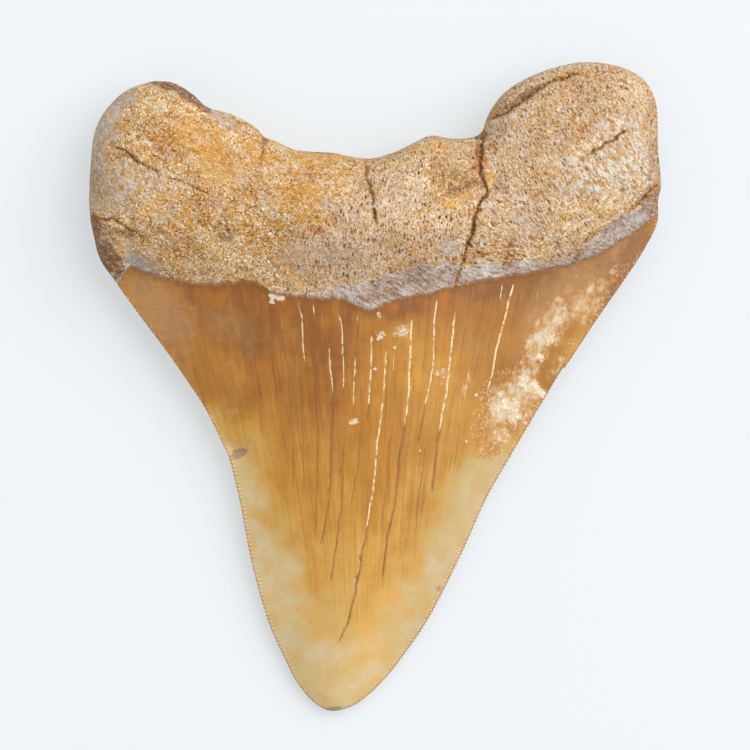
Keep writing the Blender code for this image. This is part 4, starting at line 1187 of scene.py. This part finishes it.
class Paint(Graph):
    """A material with one Principled shader."""

    def __init__(self, name, **constants):
        self.material = bpy.data.materials.new(name)
        self.material.use_nodes = True
        super().__init__(self.material.node_tree)
        self.shader = self.tree.nodes["Principled BSDF"]
        for socket, value in constants.items():
            self.shader.inputs[socket.replace("_", " ")].default_value = value

    def field(self, name, output="Fac"):
        return self.get("ShaderNodeAttribute", {"attribute_name": name}, None, output)

    def ramp(self, value, *stops):
        """A colour from a number, by (place, colour) stops."""
        made = self.node("ShaderNodeValToRGB", None, {"Fac": value})
        bar = made.color_ramp
        while len(bar.elements) < len(stops):
            bar.elements.new(0.5)
        for element, (place, colour) in zip(bar.elements, stops):
            element.position = place
            element.color = linear(*colour)
        return Signal(self, made.outputs["Color"])

    def over(self, below, share, above):
        """One colour laid over another by a share. Either may be a plain colour."""
        below, above = (c if isinstance(c, Signal) else linear(*c) for c in (below, above))
        sockets = {0: share, 6: below, 7: above}
        return self.get("ShaderNodeMix", {"data_type": "RGBA", "clamp_factor": True}, sockets, 2)

    def coats(self, colour, *coats):
        """A colour under several coats, each given as its share and its own colour."""
        for share, above in coats:
            colour = self.over(colour, share, above)
        return colour

    def patch(self, low, high, shaken, strength, rim=0.3):
        """A patch with a ragged rim: a fade over its strength shaken by noise, and nothing at strength 0."""
        return self.fade(low, high, shaken) * self.fade(0.0, rim, strength)

    def finish(self, colour, roughness, height, distance):
        """Feeds the shader. `height` is a relief that counts in steps of `distance` millimetres."""
        sockets = {"Height": height, "Distance": distance * MM, "Strength": 1.0}
        bump = self.get("ShaderNodeBump", None, sockets)
        for socket, value in (("Base Color", colour), ("Roughness", roughness), ("Normal", bump)):
            self.tree.links.new(value.socket, self.shader.inputs[socket])
        return self.material


# %% The enamel's patterns
FAN_CENTRE = (-3.0, -115.0)


def enamel_patterns(paint):
    """The patterns that the enamel's coats share. The streaks fan out from a point far below the tip."""
    at = SimpleNamespace(place=paint.field("grown", "Vector"))
    at.edge, at.past, at.amber = (paint.field(name) for name in ("edge", "past", "amber"))
    x, y, _ = paint.parts(at.place)
    at.aside = (x - FAN_CENTRE[0]) / (y - FAN_CENTRE[1]) * -FAN_CENTRE[1]

    def streaks(length, scale, detail):
        return paint.wave(paint.joined(at.aside, y / length), scale, detail, 0.6)

    at.hairs, at.lines, at.bands = streaks(26.0, 1.9, 2.0), streaks(16.0, 0.7, 3.0), streaks(9.0, 0.22, 3.0)
    at.long_bands, at.glints = streaks(3.0, 0.55, 2.0), streaks(12.0, 1.5, 1.0)
    at.clouds = paint.wave(at.place, 0.17, 5.0, 0.62)
    at.mottle = paint.wave(at.place, 0.75, 5.0, 0.7)
    at.speckle = paint.wave(at.place, 1.8, 3.0, 0.75)
    at.streaky = paint.fade(0.22, 0.5, at.amber)
    return at


# %% The enamel's amber body
AMBER = (
    (0.0, (206, 184, 138)), (0.14, (200, 172, 116)), (0.28, (198, 160, 92)), (0.42, (194, 144, 64)),
    (0.56, (180, 125, 48)), (0.70, (168, 112, 41)), (0.84, (158, 101, 38)), (1.0, (134, 82, 34)),
)


def amber_body(paint, at):
    """Straw to dark amber, with clouds of other stains, hair-fine seams and glints along the blade, and
    painted shade: over the right side, and mixed with deeper stain along the enamel's end.
    """
    depth = at.amber + at.clouds * (0.20 + 0.36 * at.amber) + at.mottle * 0.16
    depth = depth + (at.hairs * 0.27 + at.lines * 0.31 + at.bands * 0.32) * at.streaky
    # Deeper amber within 2.5 mm of the enamel's end: partly a darker stain, partly painted shade under the
    # root's edge.
    depth = depth + paint.fade(2.5, 0.0, paint.math("ABSOLUTE", at.past)) * 0.08
    grey = paint.fade(0.46, 0.66, paint.noise(at.place, 0.16, 4.0)) * paint.fade(0.34, 0.14, at.amber)
    honey = paint.fade(0.46, 0.62, paint.noise(at.place, 0.22, 4.0, 0.6)) * paint.fade(0.44, 0.2, at.amber)
    warm = paint.fade(0.50, 0.72, paint.noise(paint.stretched(at.place, 1.2, 0.4), 0.22, 4.0, 0.6))
    cool = paint.fade(0.50, 0.72, paint.noise(paint.stretched(at.place, 1.1, 0.4), 0.18, 4.0, 0.6))
    wander = at.aside / 1.7 + at.bands * 0.9 + at.lines * 0.25
    seam = paint.fade(0.13, 0.02, paint.math("PINGPONG", wander, 0.5))
    shows = paint.fade(0.42, 0.62, at.long_bands + 0.5) * at.streaky
    bright = paint.fade(0.66, 0.76, at.glints + 0.5) * at.streaky
    # Painted shade: the right side of the blade, which faces the lamp, is greyed and darkened.
    right_side_shade = paint.fade(2.0, 24.0, at.aside) * (0.18 - at.streaky * 0.04)
    return paint.coats(
        paint.ramp(depth, *AMBER), (grey * 0.45, (203, 190, 162)), (honey * 0.4, (206, 154, 72)),
        (warm * at.streaky * 0.34, (198, 122, 38)), (cool * at.streaky * 0.32, (158, 118, 58)),
        (paint.field("ochre") * (0.5 + at.mottle * 1.5), (214, 150, 56)),
        (seam * shows * 0.45, (126, 84, 46)), (bright * 0.15, (222, 176, 108)), (right_side_shade, (92, 84, 72)))


# %% What the ground left on the enamel
HAZE = ((0.30, (180, 116, 56)), (0.42, (194, 148, 92)), (0.53, (202, 174, 134)), (0.66, (216, 206, 186)))
CHALK = ((0.34, (198, 146, 84)), (0.44, (214, 188, 144)), (0.57, (230, 222, 206)))
ENAMEL_RUST = ((0.3, (116, 70, 40)), (0.5, (164, 100, 48)), (0.7, (196, 132, 72)))


def ground_coats(paint, at, colour):
    """Lighter tan patches over the amber, haze, chalk, rust and pale crumbs. Gives the colour, and how much
    chalk and rust show.
    """
    film, veil, white, rust = (paint.field(name) for name in ("film", "haze", "white", "rust"))
    tan_streaks = paint.wave(paint.stretched(at.place, 0.35, 1.5), 0.9, 4.0, 0.65)
    # Lighter tan patches over the deep amber, by the marks of this family, streaked by noise.
    tan_patched = paint.patch(0.0, 0.9, film + at.clouds * 0.8 + at.lines * 0.3, film)
    smoke = paint.noise(paint.stretched(at.place, 1.2, 0.7), 0.55, 5.0, 0.72)
    haze = paint.patch(0.1, 0.8, veil * 1.1 + (smoke - 0.5) * 1.8, veil, 0.35)
    hazy = paint.ramp(smoke + at.mottle * 0.7 + (veil - 0.7) * 0.25, *HAZE)
    clots = paint.noise(at.place, 0.6, 5.0, 0.75) * 1.7 + paint.noise(at.place, 2.4, 3.0, 0.8) * 0.7 - 1.2
    chalk = paint.patch(0.42, 0.82, white + clots, white, 0.15)
    chalky = paint.ramp(paint.noise(at.place, 0.7, 5.0, 0.75), *CHALK)
    rusty = paint.patch(0.25, 0.85, rust + at.mottle * 1.2 + at.speckle * 1.6, rust)
    rusts = paint.ramp(at.speckle * 1.4 + 0.5, *ENAMEL_RUST)
    crumbs = paint.fade(0.53, 0.64, paint.noise(at.place, 1.5, 3.0, 0.8)) * paint.fade(0.1, 0.4, rust)
    colour = paint.coats(
        colour, (tan_patched * (0.5 + tan_streaks * 0.6), (188, 146, 100)), (haze * 0.74, hazy), (chalk * 0.84, chalky),
        (rusty * 0.75, rusts), (crumbs * 0.6, (232, 202, 172)))
    return colour, chalk, rusty


# %% Cracks, chips and the serrated edge
def crack_coats(paint, at, colour):
    """The long cracks, dark where they are empty and beaded where they are filled, and the dark chips."""
    beads = paint.fade(0.38, 0.54, paint.noise(paint.stretched(at.place, 1.6, 0.8), 1.1, 3.0, 0.7))
    empty = paint.fade(0.0, 0.6, paint.field("dark_vein")) * (0.66 + at.mottle * 1.6)
    filled = paint.fade(0.22, 0.62, paint.field("pale_vein") + (beads - 0.5) * 0.16)
    filling = paint.over((178, 134, 84), beads, (236, 216, 172))
    stained = paint.field("dark")
    shaken = stained + at.mottle * 0.4
    chipped = paint.fade(0.48, 0.66, shaken) * paint.fade(-3.0, -7.0, at.past)
    return paint.coats(
        colour, (empty * 0.95, (118, 78, 52)), (filled * 0.8, filling),
        (paint.patch(0.05, 0.6, shaken, stained, 0.2) * 0.75, (128, 88, 56)),
        (chipped * 0.8, (170, 146, 130)))


def edge_coats(paint, at, colour):
    """A pale bead on each tooth of the edge, rust between them and on the rim, an orange line just below the
    enamel's end, and right at it a dark line of painted shade under the root's step.
    """
    comb = paint.math("SINE", paint.field("along") * (2 * math.pi / SERRATION_PITCH)) * 0.5 + 0.5
    sharp = paint.fade(0.25, 0.9, paint.field("on_blade"))
    teeth = paint.fade(0.95, 0.35, at.edge) * paint.fade(0.05, 0.25, at.edge) * sharp
    teeth = teeth * paint.fade(0.3, 0.65, paint.noise(at.place, 0.6, 2.0))
    crust = paint.fade(0.54, 0.66, paint.noise(at.place, 1.9, 3.0, 0.8)) * paint.fade(0.8, 0.2, at.edge)
    return paint.coats(
        colour, (teeth * comb * 0.45, (226, 208, 166)),
        (teeth * paint.fade(0.45, 0.1, comb) * 0.7, (196, 130, 52)),
        (paint.fade(0.36, 0.06, at.edge) * (0.75 + at.speckle * 1.4), (158, 98, 46)),
        (crust * 0.5, (238, 208, 160)), (paint.fade(-0.45, -0.15, at.past) * 0.5, (178, 114, 52)),
        # Painted shade: a thin dark line right at the enamel's end, under the root's step.
        (paint.fade(-0.14, -0.02, at.past) * 0.6, (128, 82, 50)))


# %% Enamel
def enamel():
    """The enamel's material: its amber body under what the ground left, cracks and the worn edge."""
    paint = Paint("enamel", IOR=1.5, Specular_IOR_Level=0.3)
    at = enamel_patterns(paint)
    colour, chalk, rusty = ground_coats(paint, at, amber_body(paint, at))
    colour = edge_coats(paint, at, crack_coats(paint, at, colour))
    rough = 0.40 + chalk * 0.3 + rusty * 0.2 + paint.field("dark_vein") * 0.3 + at.mottle * 0.2
    relief = at.hairs * 0.25 * at.streaky + chalk * paint.noise(at.place, 2.0, 3.0, 0.7) * 0.3
    return paint.finish(colour, rough, relief + at.mottle * 0.3, 0.12)


# %% [markdown]
# ## Paint for the root
#
# The root is bone with sand cemented onto it. Sand has no single colour: every grain is quartz, iron or
# shell. So noise picks from a short list of sandy colours, and cells of two sizes pick out single grains
# and flakes by random numbers. Past the sand the bone is cream and pink, pricked with rust-lined pores
# where blood vessels ran. The pores come from the same cells as the relief's pits, so they are dark where
# they are deep.

# %% Tints and patches
def tinted(paint, place, colour, warm, cool, share=0.6):
    """A colour with small warm and cool patches, which is what makes bone and sand look like a mixture."""
    hue = paint.noise(paint.stretched(place, 0.9, 1.1), 1.1, 5.0, 0.85)
    return paint.coats(
        colour, (paint.fade(0.51, 0.60, hue) * share, warm), (paint.fade(0.48, 0.40, hue) * share, cool))


def sand_patches(paint, place, colour):
    """The wider stains in the sand: ochre, ashen pink and burnt brown."""
    stained = paint.fade(0.46, 0.62, paint.noise(place, 0.26, 5.0, 0.65))
    ashen = paint.fade(0.50, 0.66, paint.noise(paint.stretched(place, 1.0, 1.2, 0.9), 0.20, 5.0, 0.7))
    flow = paint.stretched(paint.slanted(place, SAND_SLOPE), 0.45, 1.5)
    burnt = paint.fade(0.55, 0.66, paint.noise(flow, 0.6, 5.0, 0.75))
    return paint.coats(
        colour, (stained * 0.46, (202, 144, 54)), (ashen * 0.6, (210, 194, 170)),
        (burnt * 0.6, (142, 84, 40)))


def root_patterns(paint):
    """The patterns that the root's coats share, some of them along the bone's grain or the sand's flow."""
    at = SimpleNamespace(place=paint.field("grown", "Vector"))
    at.grain = bone_grain(paint, at.place)
    at.flow = paint.stretched(paint.slanted(at.place, SAND_SLOPE), 0.7, 1.25)
    at.yellow_flow = paint.slanted(at.place, -0.5)
    at.drift = paint.wave(at.place, 0.14, 4.0, 0.6)
    at.patchy = paint.wave(paint.stretched(at.place, 0.8, 1.1), 0.45, 5.0, 0.7)
    at.grit = paint.wave(at.place, 2.2, 3.0, 0.7)
    at.fine = paint.wave(at.flow, 1.5, 4.0, 0.8)
    at.fibre = paint.wave(paint.stretched(at.grain, 1.5, 0.5, 0.8), 1.8, 4.0, 0.8)
    at.dust = paint.wave(paint.stretched(at.grain, 1.2, 0.7), 4.2, 1.0, 0.6)
    at.sandy = paint.fade(0.2, 0.7, paint.field("sandy") + at.drift * 0.8 + at.patchy * 0.8)
    return at


# %% Cemented sand and bare bone
SAND_BED = (
    (0.20, (80, 52, 32)), (0.32, (142, 94, 46)), (0.43, (188, 140, 74)), (0.52, (206, 166, 100)),
    (0.61, (218, 186, 126)), (0.71, (234, 212, 168)), (0.84, (246, 238, 220)),
)
BONE = (
    (0.20, (98, 66, 42)), (0.33, (154, 114, 72)), (0.44, (180, 147, 108)), (0.55, (190, 166, 132)),
    (0.67, (206, 190, 162)), (0.80, (232, 226, 208)),
)


def sand_bed(paint, at):
    """Cemented sand. Gives its colour, and how far each place is from the middle of its grain."""
    shake = paint.get("ShaderNodeTexNoise", None, {"Vector": at.place, "Scale": 2.0}, "Color")

    def shaken(place, reach):
        return paint.vector("ADD", place, paint.vector("MULTIPLY", shake, (reach,) * 3))

    away, chance, other, _ = paint.cells(shaken(at.place, 0.4), 2.8)
    _, flaked, _, _ = paint.cells(shaken(at.flow, 1.5), 1.0)
    speck = (chance - 0.5) * 0.3 + at.fine * 1.2 + at.dust * 0.7 + at.drift * 0.4 + 0.5
    colour = tinted(paint, at.flow, paint.ramp(speck, *SAND_BED), (210, 138, 34), (200, 190, 172), 0.82)
    flakes = ((paint.fade(0.14, 0.08, flaked) * 0.5, (228, 214, 186)),
              (paint.fade(0.86, 0.92, flaked) * 0.5, (156, 90, 40)))
    colour = sand_patches(paint, at.place, paint.coats(colour, *flakes))
    rusty = paint.fade(0.84, 0.90, other) * 0.7
    black = paint.fade(0.86, 0.91, chance) * paint.fade(0.55, 0.3, away) * 0.8
    white = paint.fade(0.10, 0.05, chance) * 0.7
    return paint.coats(colour, (rusty, (150, 82, 36)), (black, (70, 56, 44)), (white, (242, 232, 210))), away


def bare_bone(paint, at):
    """Cream and tan bone, for where no sand is."""
    rough = at.fibre * 1.5 + at.grit * 0.7 + at.dust * 1.0 + at.drift * 0.4 + 0.5
    bone = tinted(paint, at.grain, paint.ramp(rough, *BONE), (202, 138, 52), (204, 180, 168), 0.7)
    tanned = paint.fade(0.48, 0.66, paint.noise(at.place, 0.3, 5.0, 0.7))
    return paint.over(bone, tanned * 0.35, (184, 136, 74))


# %% Bleached and golden bone
YELLOWS = (
    (0.22, (82, 64, 38)), (0.36, (156, 104, 40)), (0.50, (206, 144, 42)), (0.62, (220, 178, 92)),
    (0.76, (232, 220, 190)),
)


def bleached(paint, at, colour):
    """A white network over tan bone, then ochre. Gives the colour and how bleached it is."""
    network = paint.fade(0.46, 0.56, paint.noise(paint.stretched(at.grain, 1.1, 0.7), 1.0, 5.0, 0.8))
    white = paint.field("white")
    whiteness = paint.patch(0.15, 0.75, white + at.patchy * 1.2, white)
    ochre = paint.fade(0.25, 0.8, paint.field("ochre") + at.patchy * 1.2 + at.grit * 0.5)
    colour = paint.coats(
        colour, (whiteness * network * 0.85, (214, 210, 202)),
        (whiteness * (1 - network) * 0.5, (184, 132, 62)), (ochre * 0.44, (206, 150, 54)))
    return colour, whiteness


def golden(paint, at, colour):
    """Golden mineral in slanted streaks, with bare flakes in it and bright ridges where it is thickest."""
    amount = paint.field("yellow")
    stretch = paint.wave(paint.stretched(at.yellow_flow, 0.5, 1.1), 1.1, 5.0, 0.8)
    yellow = paint.patch(0.36, 0.60, amount * 0.8 + stretch * 2.2 + at.fibre * 1.2, amount)
    yellows = paint.ramp(stretch * 2.0 + at.fibre * 1.3 + at.dust + 0.5, *YELLOWS)
    bare = paint.fade(0.49, 0.56, paint.noise(paint.stretched(at.yellow_flow, 0.6, 1.2), 0.8, 4.0, 0.75))
    bright = paint.fade(0.78, 0.95, amount) * (0.5 + stretch * 2.5 + at.fibre * 1.5)
    return paint.coats(
        colour, (yellow * 0.76, yellows), (bare * yellow * (1 - at.sandy * 0.3) * 0.7, (222, 214, 200)),
        (bright, (226, 166, 50)))


# %% Pores and the smooth lilac bone
PORE_RUST = ((0.0, (70, 40, 24)), (0.3, (126, 64, 26)), (0.6, (172, 94, 34)), (0.9, (204, 140, 54)))
PRICK_SHIFT = (7.3, 3.1, 0.0)
SMOOTH_BONE = (
    (0.26, (84, 58, 46)), (0.37, (138, 106, 84)), (0.46, (166, 144, 126)), (0.55, (180, 174, 170)),
    (0.65, (200, 196, 190)), (0.77, (232, 226, 212)),
)


def pored(paint, at, colour, whiteness):
    """Pores and smaller pricks, lined with rust. Gives the colour and how deep they are."""
    pores, pore_tone = pores_of(paint, at.grain, PORE_SPACING, *PORES)
    pricks, prick_tone = pores_of(paint, paint.vector("ADD", at.grain, PRICK_SHIFT), PRICK_SPACING, *PRICKS)
    lilac = paint.field("lilac")
    show = (1 - at.sandy * 0.85) * (1 - paint.fade(0.1, 0.6, lilac) * 0.75) * (1 - whiteness * 0.6)
    for holes, tone in ((pricks * 0.9, prick_tone), (pores * 0.92, pore_tone)):
        colour = paint.over(colour, holes * show, paint.ramp(tone, *PORE_RUST))
    return colour, pores + pricks * 0.5


def veiled_in_lilac(paint, at, colour):
    """The smooth wrinkled bone along the enamel's end. Gives the colour and how much of it shows."""
    # The lilac field also holds two marks of painted shade on the right lobe's slope.
    lilac = paint.field("lilac")
    veiled = paint.patch(0.30, 0.80, lilac + at.patchy * 1.3 + at.drift * 0.6, lilac, 0.25)
    wrinkle = paint.wave(paint.stretched(paint.slanted(at.place, 0.5), 0.4, 1.4), 1.1, 6.0, 0.8)
    wrinkle = wrinkle * 1.4 + at.patchy * 0.5 + at.drift * 0.6 + at.grit * 0.2 + at.dust * 0.3 + 0.5
    smooth = tinted(paint, at.place, paint.ramp(wrinkle, *SMOOTH_BONE), (184, 142, 96), (164, 166, 176))
    return paint.over(colour, veiled * 0.85, smooth), veiled


# %% Rust, burnt bone, painted shade and the root's cracks
ROOT_RUST = ((0.25, (96, 54, 28)), (0.45, (158, 88, 36)), (0.65, (204, 132, 58)))
BROWNS = (
    (0.26, (58, 36, 28)), (0.40, (98, 66, 50)), (0.54, (138, 98, 72)), (0.68, (184, 140, 98)),
    (0.80, (220, 190, 148)),
)
CRACK_FILLING = ((0.3, (64, 48, 34)), (0.44, (112, 80, 44)), (0.56, (162, 108, 46)), (0.70, (206, 162, 98)))


def stained(paint, at, colour):
    """Rust and dark brown by the marks, burnt bone in most and painted shade in a few, earth in the cracks,
    and a dark lip of painted shade where the root steps up from the enamel's end.
    """
    rust, dark, crack = (paint.field(name) for name in ("rust", "dark", "crack"))
    rusts = paint.ramp(at.fine * 1.6 + at.dust + 0.5, *ROOT_RUST)
    browns = paint.ramp(at.fine * 1.9 + at.dust * 0.8 + 0.46, *BROWNS)
    browns = tinted(paint, at.place, browns, (150, 92, 52), (120, 98, 102), 0.6)
    filling = paint.ramp(at.fine * 1.8 + at.patchy * 0.8 + 0.5, *CRACK_FILLING)
    # Painted shade: a dark line on the root's step just above the enamel's end.
    lip = paint.fade(0.45, 0.1, paint.math("ABSOLUTE", paint.field("past") - 0.2))
    return paint.coats(
        colour,
        (paint.patch(0.4, 0.85, rust + at.patchy * 1.0 + at.grit * 2.0, rust) * 0.8, rusts),
        (paint.patch(0.25, 0.8, dark + at.patchy * 0.9 + at.grit * 0.9, dark) * 0.85, browns),
        (paint.patch(0.05, 0.6, crack + at.grit * 0.6, crack, 0.2) * 0.45, (182, 120, 58)),
        (paint.fade(0.35, 0.9, crack + at.grit * 1.2) * 0.8, filling),
        (lip * (0.5 + at.patchy), (136, 88, 58)))


# %% Root bone
def root_bone():
    """The root's material: bone or sand, then bleached and golden patches, pores, lilac, rust and cracks."""
    paint = Paint("root_bone", IOR=1.45, Specular_IOR_Level=0.2)
    at = root_patterns(paint)
    sand, away = sand_bed(paint, at)
    colour, whiteness = bleached(paint, at, paint.over(bare_bone(paint, at), at.sandy, sand))
    colour, depth = pored(paint, at, golden(paint, at, colour), whiteness)
    colour, veiled = veiled_in_lilac(paint, at, colour)
    relief = (at.fine + at.fibre) * (0.3 + at.sandy * 0.2) + at.grit * 0.5 - depth * (1 - at.sandy) * 0.6
    relief = relief + at.patchy * 0.4 - away * 0.3 * at.sandy
    return paint.finish(stained(paint, at, colour), 0.85 - veiled * 0.15, relief, 0.4)


# %% Weather the skin
WEATHER = {
    "Serration pitch": SERRATION_PITCH,
    "Serration depth": 0.3,
    "Serration groove": 0.16,
    "Grain size": 1.1,
    "Grain height": 0.3,
    "Crumb height": 0.7,
    "Lump height": 1.1,
    "Pit spacing": PORE_SPACING,
    "Pit depth": 0.16,
    "Fissure depth": 0.5,
    "Streak height": 0.06,
    "Vein depth": 0.10,
    "Flake height": 0.18,
}
WEATHER |= {"Enamel": enamel(), "Root bone": root_bone()}
tooth.data = grown_with(tooth, weathering(WEATHER), WEATHER, "tooth_surface")
print(f"the nodes moved {len(tooth.data.vertices)} points")


# %% Rest it on the table
def rest_on_table(mesh):
    """Presses flat the bumps that would stick into the table. Gives the deepest one's depth, in mm."""
    places = np.empty(len(mesh.vertices) * 3)
    mesh.vertices.foreach_get("co", places)
    lowest = places[2::3].min()
    places[2::3] = np.maximum(places[2::3], 0)
    mesh.vertices.foreach_set("co", places)
    mesh.update()
    return -lowest / MM


print(f"bumps under the tooth, pressed flat: up to {rest_on_table(tooth.data):.2f} mm")


# %% Compare it with the solid
def distance_to_solid(mesh, solid, step=37):
    """How far some of a mesh's points lie from the solid's surface, in millimetres."""
    tree = bvhtree.BVHTree.FromObject(solid, bpy.context.evaluated_depsgraph_get())
    far = [tree.find_nearest(mesh.vertices[i].co)[3] / MM for i in range(0, len(mesh.vertices), step)]
    return np.percentile(far, 50), max(far)


print("the skin lies this far from the solid, in mm (usual, most): %.2f, %.2f"
      % distance_to_solid(tooth.data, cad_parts["tooth"]))

# %% [markdown]
# ## Sand on the root
#
# Grains of sand are still cemented to the left of the root. They are scattered by rule: points all over the
# sandy bone, as dense as the "sandy" attribute says, and on each point a small rough pebble with its own
# size and turn. A pebble has only twenty faces, because there are thousands of them. Each carries a random
# number for its colour.

# %% Where the grains go
GRAIN_PROPORTIONS = (0.6, 0.6, 0.4)


def grain_density(graph):
    """1 on sandy bone, less near the rim, the enamel's end and lilac bone, and on the face that is down."""
    where = graph.fade(0.45, 0.8, field_of(graph, "sandy")) * graph.fade(0.6, 1.6, field_of(graph, "past"))
    where = where * graph.fade(0.7, 0.3, field_of(graph, "lilac")) * (0.25 + field_of(graph, "top") * 0.75)
    return where * graph.fade(1.2, 4.5, field_of(graph, "edge"))


def random_number(graph, seed):
    return graph.get("FunctionNodeRandomValue", {"data_type": "FLOAT"}, {"Seed": seed}, 1)


def random_vector(graph, **sockets):
    made = graph.node("FunctionNodeRandomValue", {"data_type": "FLOAT_VECTOR"})
    for name, value in sockets.items():
        made.inputs[name].default_value = value
    return Signal(graph, made.outputs["Value"])


# %% The sand tree
def sand_tree(sizes):
    """A pebble on every scattered point, each with its own turn, proportions, size and number."""
    graph, size = node_group("sand", sizes)
    density = grain_density(graph) * size["Grains per square mm"] / MM**2
    points = graph.get("GeometryNodeDistributePointsOnFaces", None,
                       {"Mesh": size["Geometry"], "Density": density, "Seed": 4}, "Points")
    pebble = graph.get("GeometryNodeMeshIcoSphere", None, {"Radius": 0.5 * MM, "Subdivisions": 1})
    turn = random_vector(graph, Max=(2 * math.pi,) * 3)
    lengths = random_vector(graph, Min=GRAIN_PROPORTIONS, Seed=1)
    range_of_sizes = size["Largest grain"] - size["Smallest grain"]
    grown = size["Smallest grain"] + range_of_sizes * random_number(graph, 2) ** 2
    placed = graph.get("GeometryNodeInstanceOnPoints", None, {
        "Points": points, "Instance": pebble, "Rotation": turn,
        "Scale": graph.vector("MULTIPLY", lengths, grown)})
    placed = graph.get("GeometryNodeStoreNamedAttribute", {"data_type": "FLOAT", "domain": "INSTANCE"}, {
        "Geometry": placed, "Name": "chance", "Value": random_number(graph, 3)})
    whole = graph.get("GeometryNodeRealizeInstances", None, {"Geometry": placed})
    whole = graph.get("GeometryNodeSetMaterial", None, {"Geometry": whole, "Material": size["Sand"]})
    graph.node("NodeGroupOutput", None, {0: whole})
    return graph


# %% Paint for the grains
SAND = (
    (0.0, (84, 58, 40)), (0.10, (148, 88, 42)), (0.20, (192, 130, 52)), (0.34, (206, 154, 70)),
    (0.48, (204, 164, 102)), (0.62, (216, 184, 134)), (0.76, (232, 210, 170)), (0.87, (176, 168, 158)),
    (0.94, (240, 232, 214)),
)


def sand():
    """The loose grains' material: a colour from the list by each grain's number, stained like the bone."""
    paint = Paint("sand", IOR=1.5, Specular_IOR_Level=0.3)
    place = paint.field("grown", "Vector")
    drift = paint.wave(place, 0.14, 4.0, 0.6)
    colour = paint.ramp(paint.field("chance") * 0.9 + 0.05 + drift * 0.6, *SAND)
    colour = paint.coats(
        sand_patches(paint, place, colour), (paint.field("ochre") * 0.4, (214, 150, 58)),
        # The dark marks hold burnt stains and, on the right lobe's steep side, painted shade.
        (paint.field("dark") * 0.8, (106, 70, 50)))
    return paint.finish(colour, 0.7 + drift * 0.1, paint.noise(place, 3.0), 0.1)


# %% Scatter the sand
SAND_SIZES = {"Grains per square mm": 4.4, "Smallest grain": 0.24, "Largest grain": 0.62, "Sand": sand()}
scattered = grown_with(tooth, sand_tree(SAND_SIZES), SAND_SIZES, "sand_grains")
grains = bpy.data.objects.new("sand_grains", scattered)
bpy.context.scene.collection.objects.link(grains)
print(f"{len(grains.data.polygons) // 20} grains of sand, {len(grains.data.polygons)} triangles")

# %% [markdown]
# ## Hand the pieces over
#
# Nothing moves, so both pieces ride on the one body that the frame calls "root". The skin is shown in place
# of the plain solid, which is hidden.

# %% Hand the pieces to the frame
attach(tooth, "root")
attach(grains, "root")
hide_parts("tooth")

# %% [markdown]
# ## Table and light
#
# The photo's light is a bright, soft studio: a broad lamp above and to the right, and so much light from
# all round that the shadow is only a pale grey breath on the left.

# %% The table
TABLE_GLOW = 0.52
TABLE_HALF = 3.0


def table_paint():
    """Pale acrylic that is lit a little from below, so that shadows on it stay faint."""
    return Paint("table_paint", Roughness=0.9, Specular_IOR_Level=0.0, Emission_Strength=TABLE_GLOW,
                 Base_Color=linear(150, 153, 155), Emission_Color=linear(245, 249, 252)).material


table = bpy.data.meshes.new("table")
CORNERS = ((-1, -1), (1, -1), (1, 1), (-1, 1))
table.from_pydata([(x * TABLE_HALF, y * TABLE_HALF, 0.0) for x, y in CORNERS], [], [(0, 1, 2, 3)])
table.materials.append(table_paint())
floor = bpy.data.objects.new("table", table)
bpy.context.scene.collection.objects.link(floor)


# %% The lamps
def lamp(name, place, size, power):
    """A square lamp that faces the tooth. Its place and size are in metres."""
    data = bpy.data.lights.new(name, "AREA")
    data.size = size
    data.energy = power
    obj = bpy.data.objects.new(name, data)
    obj.location = place
    obj.rotation_euler = (-Vector(place)).to_track_quat("-Z", "Y").to_euler()
    bpy.context.scene.collection.objects.link(obj)


KEY_PLACE, KEY_SIZE, KEY_POWER = (0.8, 0.6, 1.1), 1.6, 25.0
SKY_COLOUR, SKY_STRENGTH = (0.96, 0.98, 1.0, 1.0), 0.77
lamp("key", KEY_PLACE, KEY_SIZE, KEY_POWER)
world = bpy.data.worlds.new("studio")
world.use_nodes = True
background = world.node_tree.nodes["Background"]
background.inputs["Color"].default_value = SKY_COLOUR
background.inputs["Strength"].default_value = SKY_STRENGTH
bpy.context.scene.world = world
bpy.context.scene.view_settings.view_transform = "Standard"
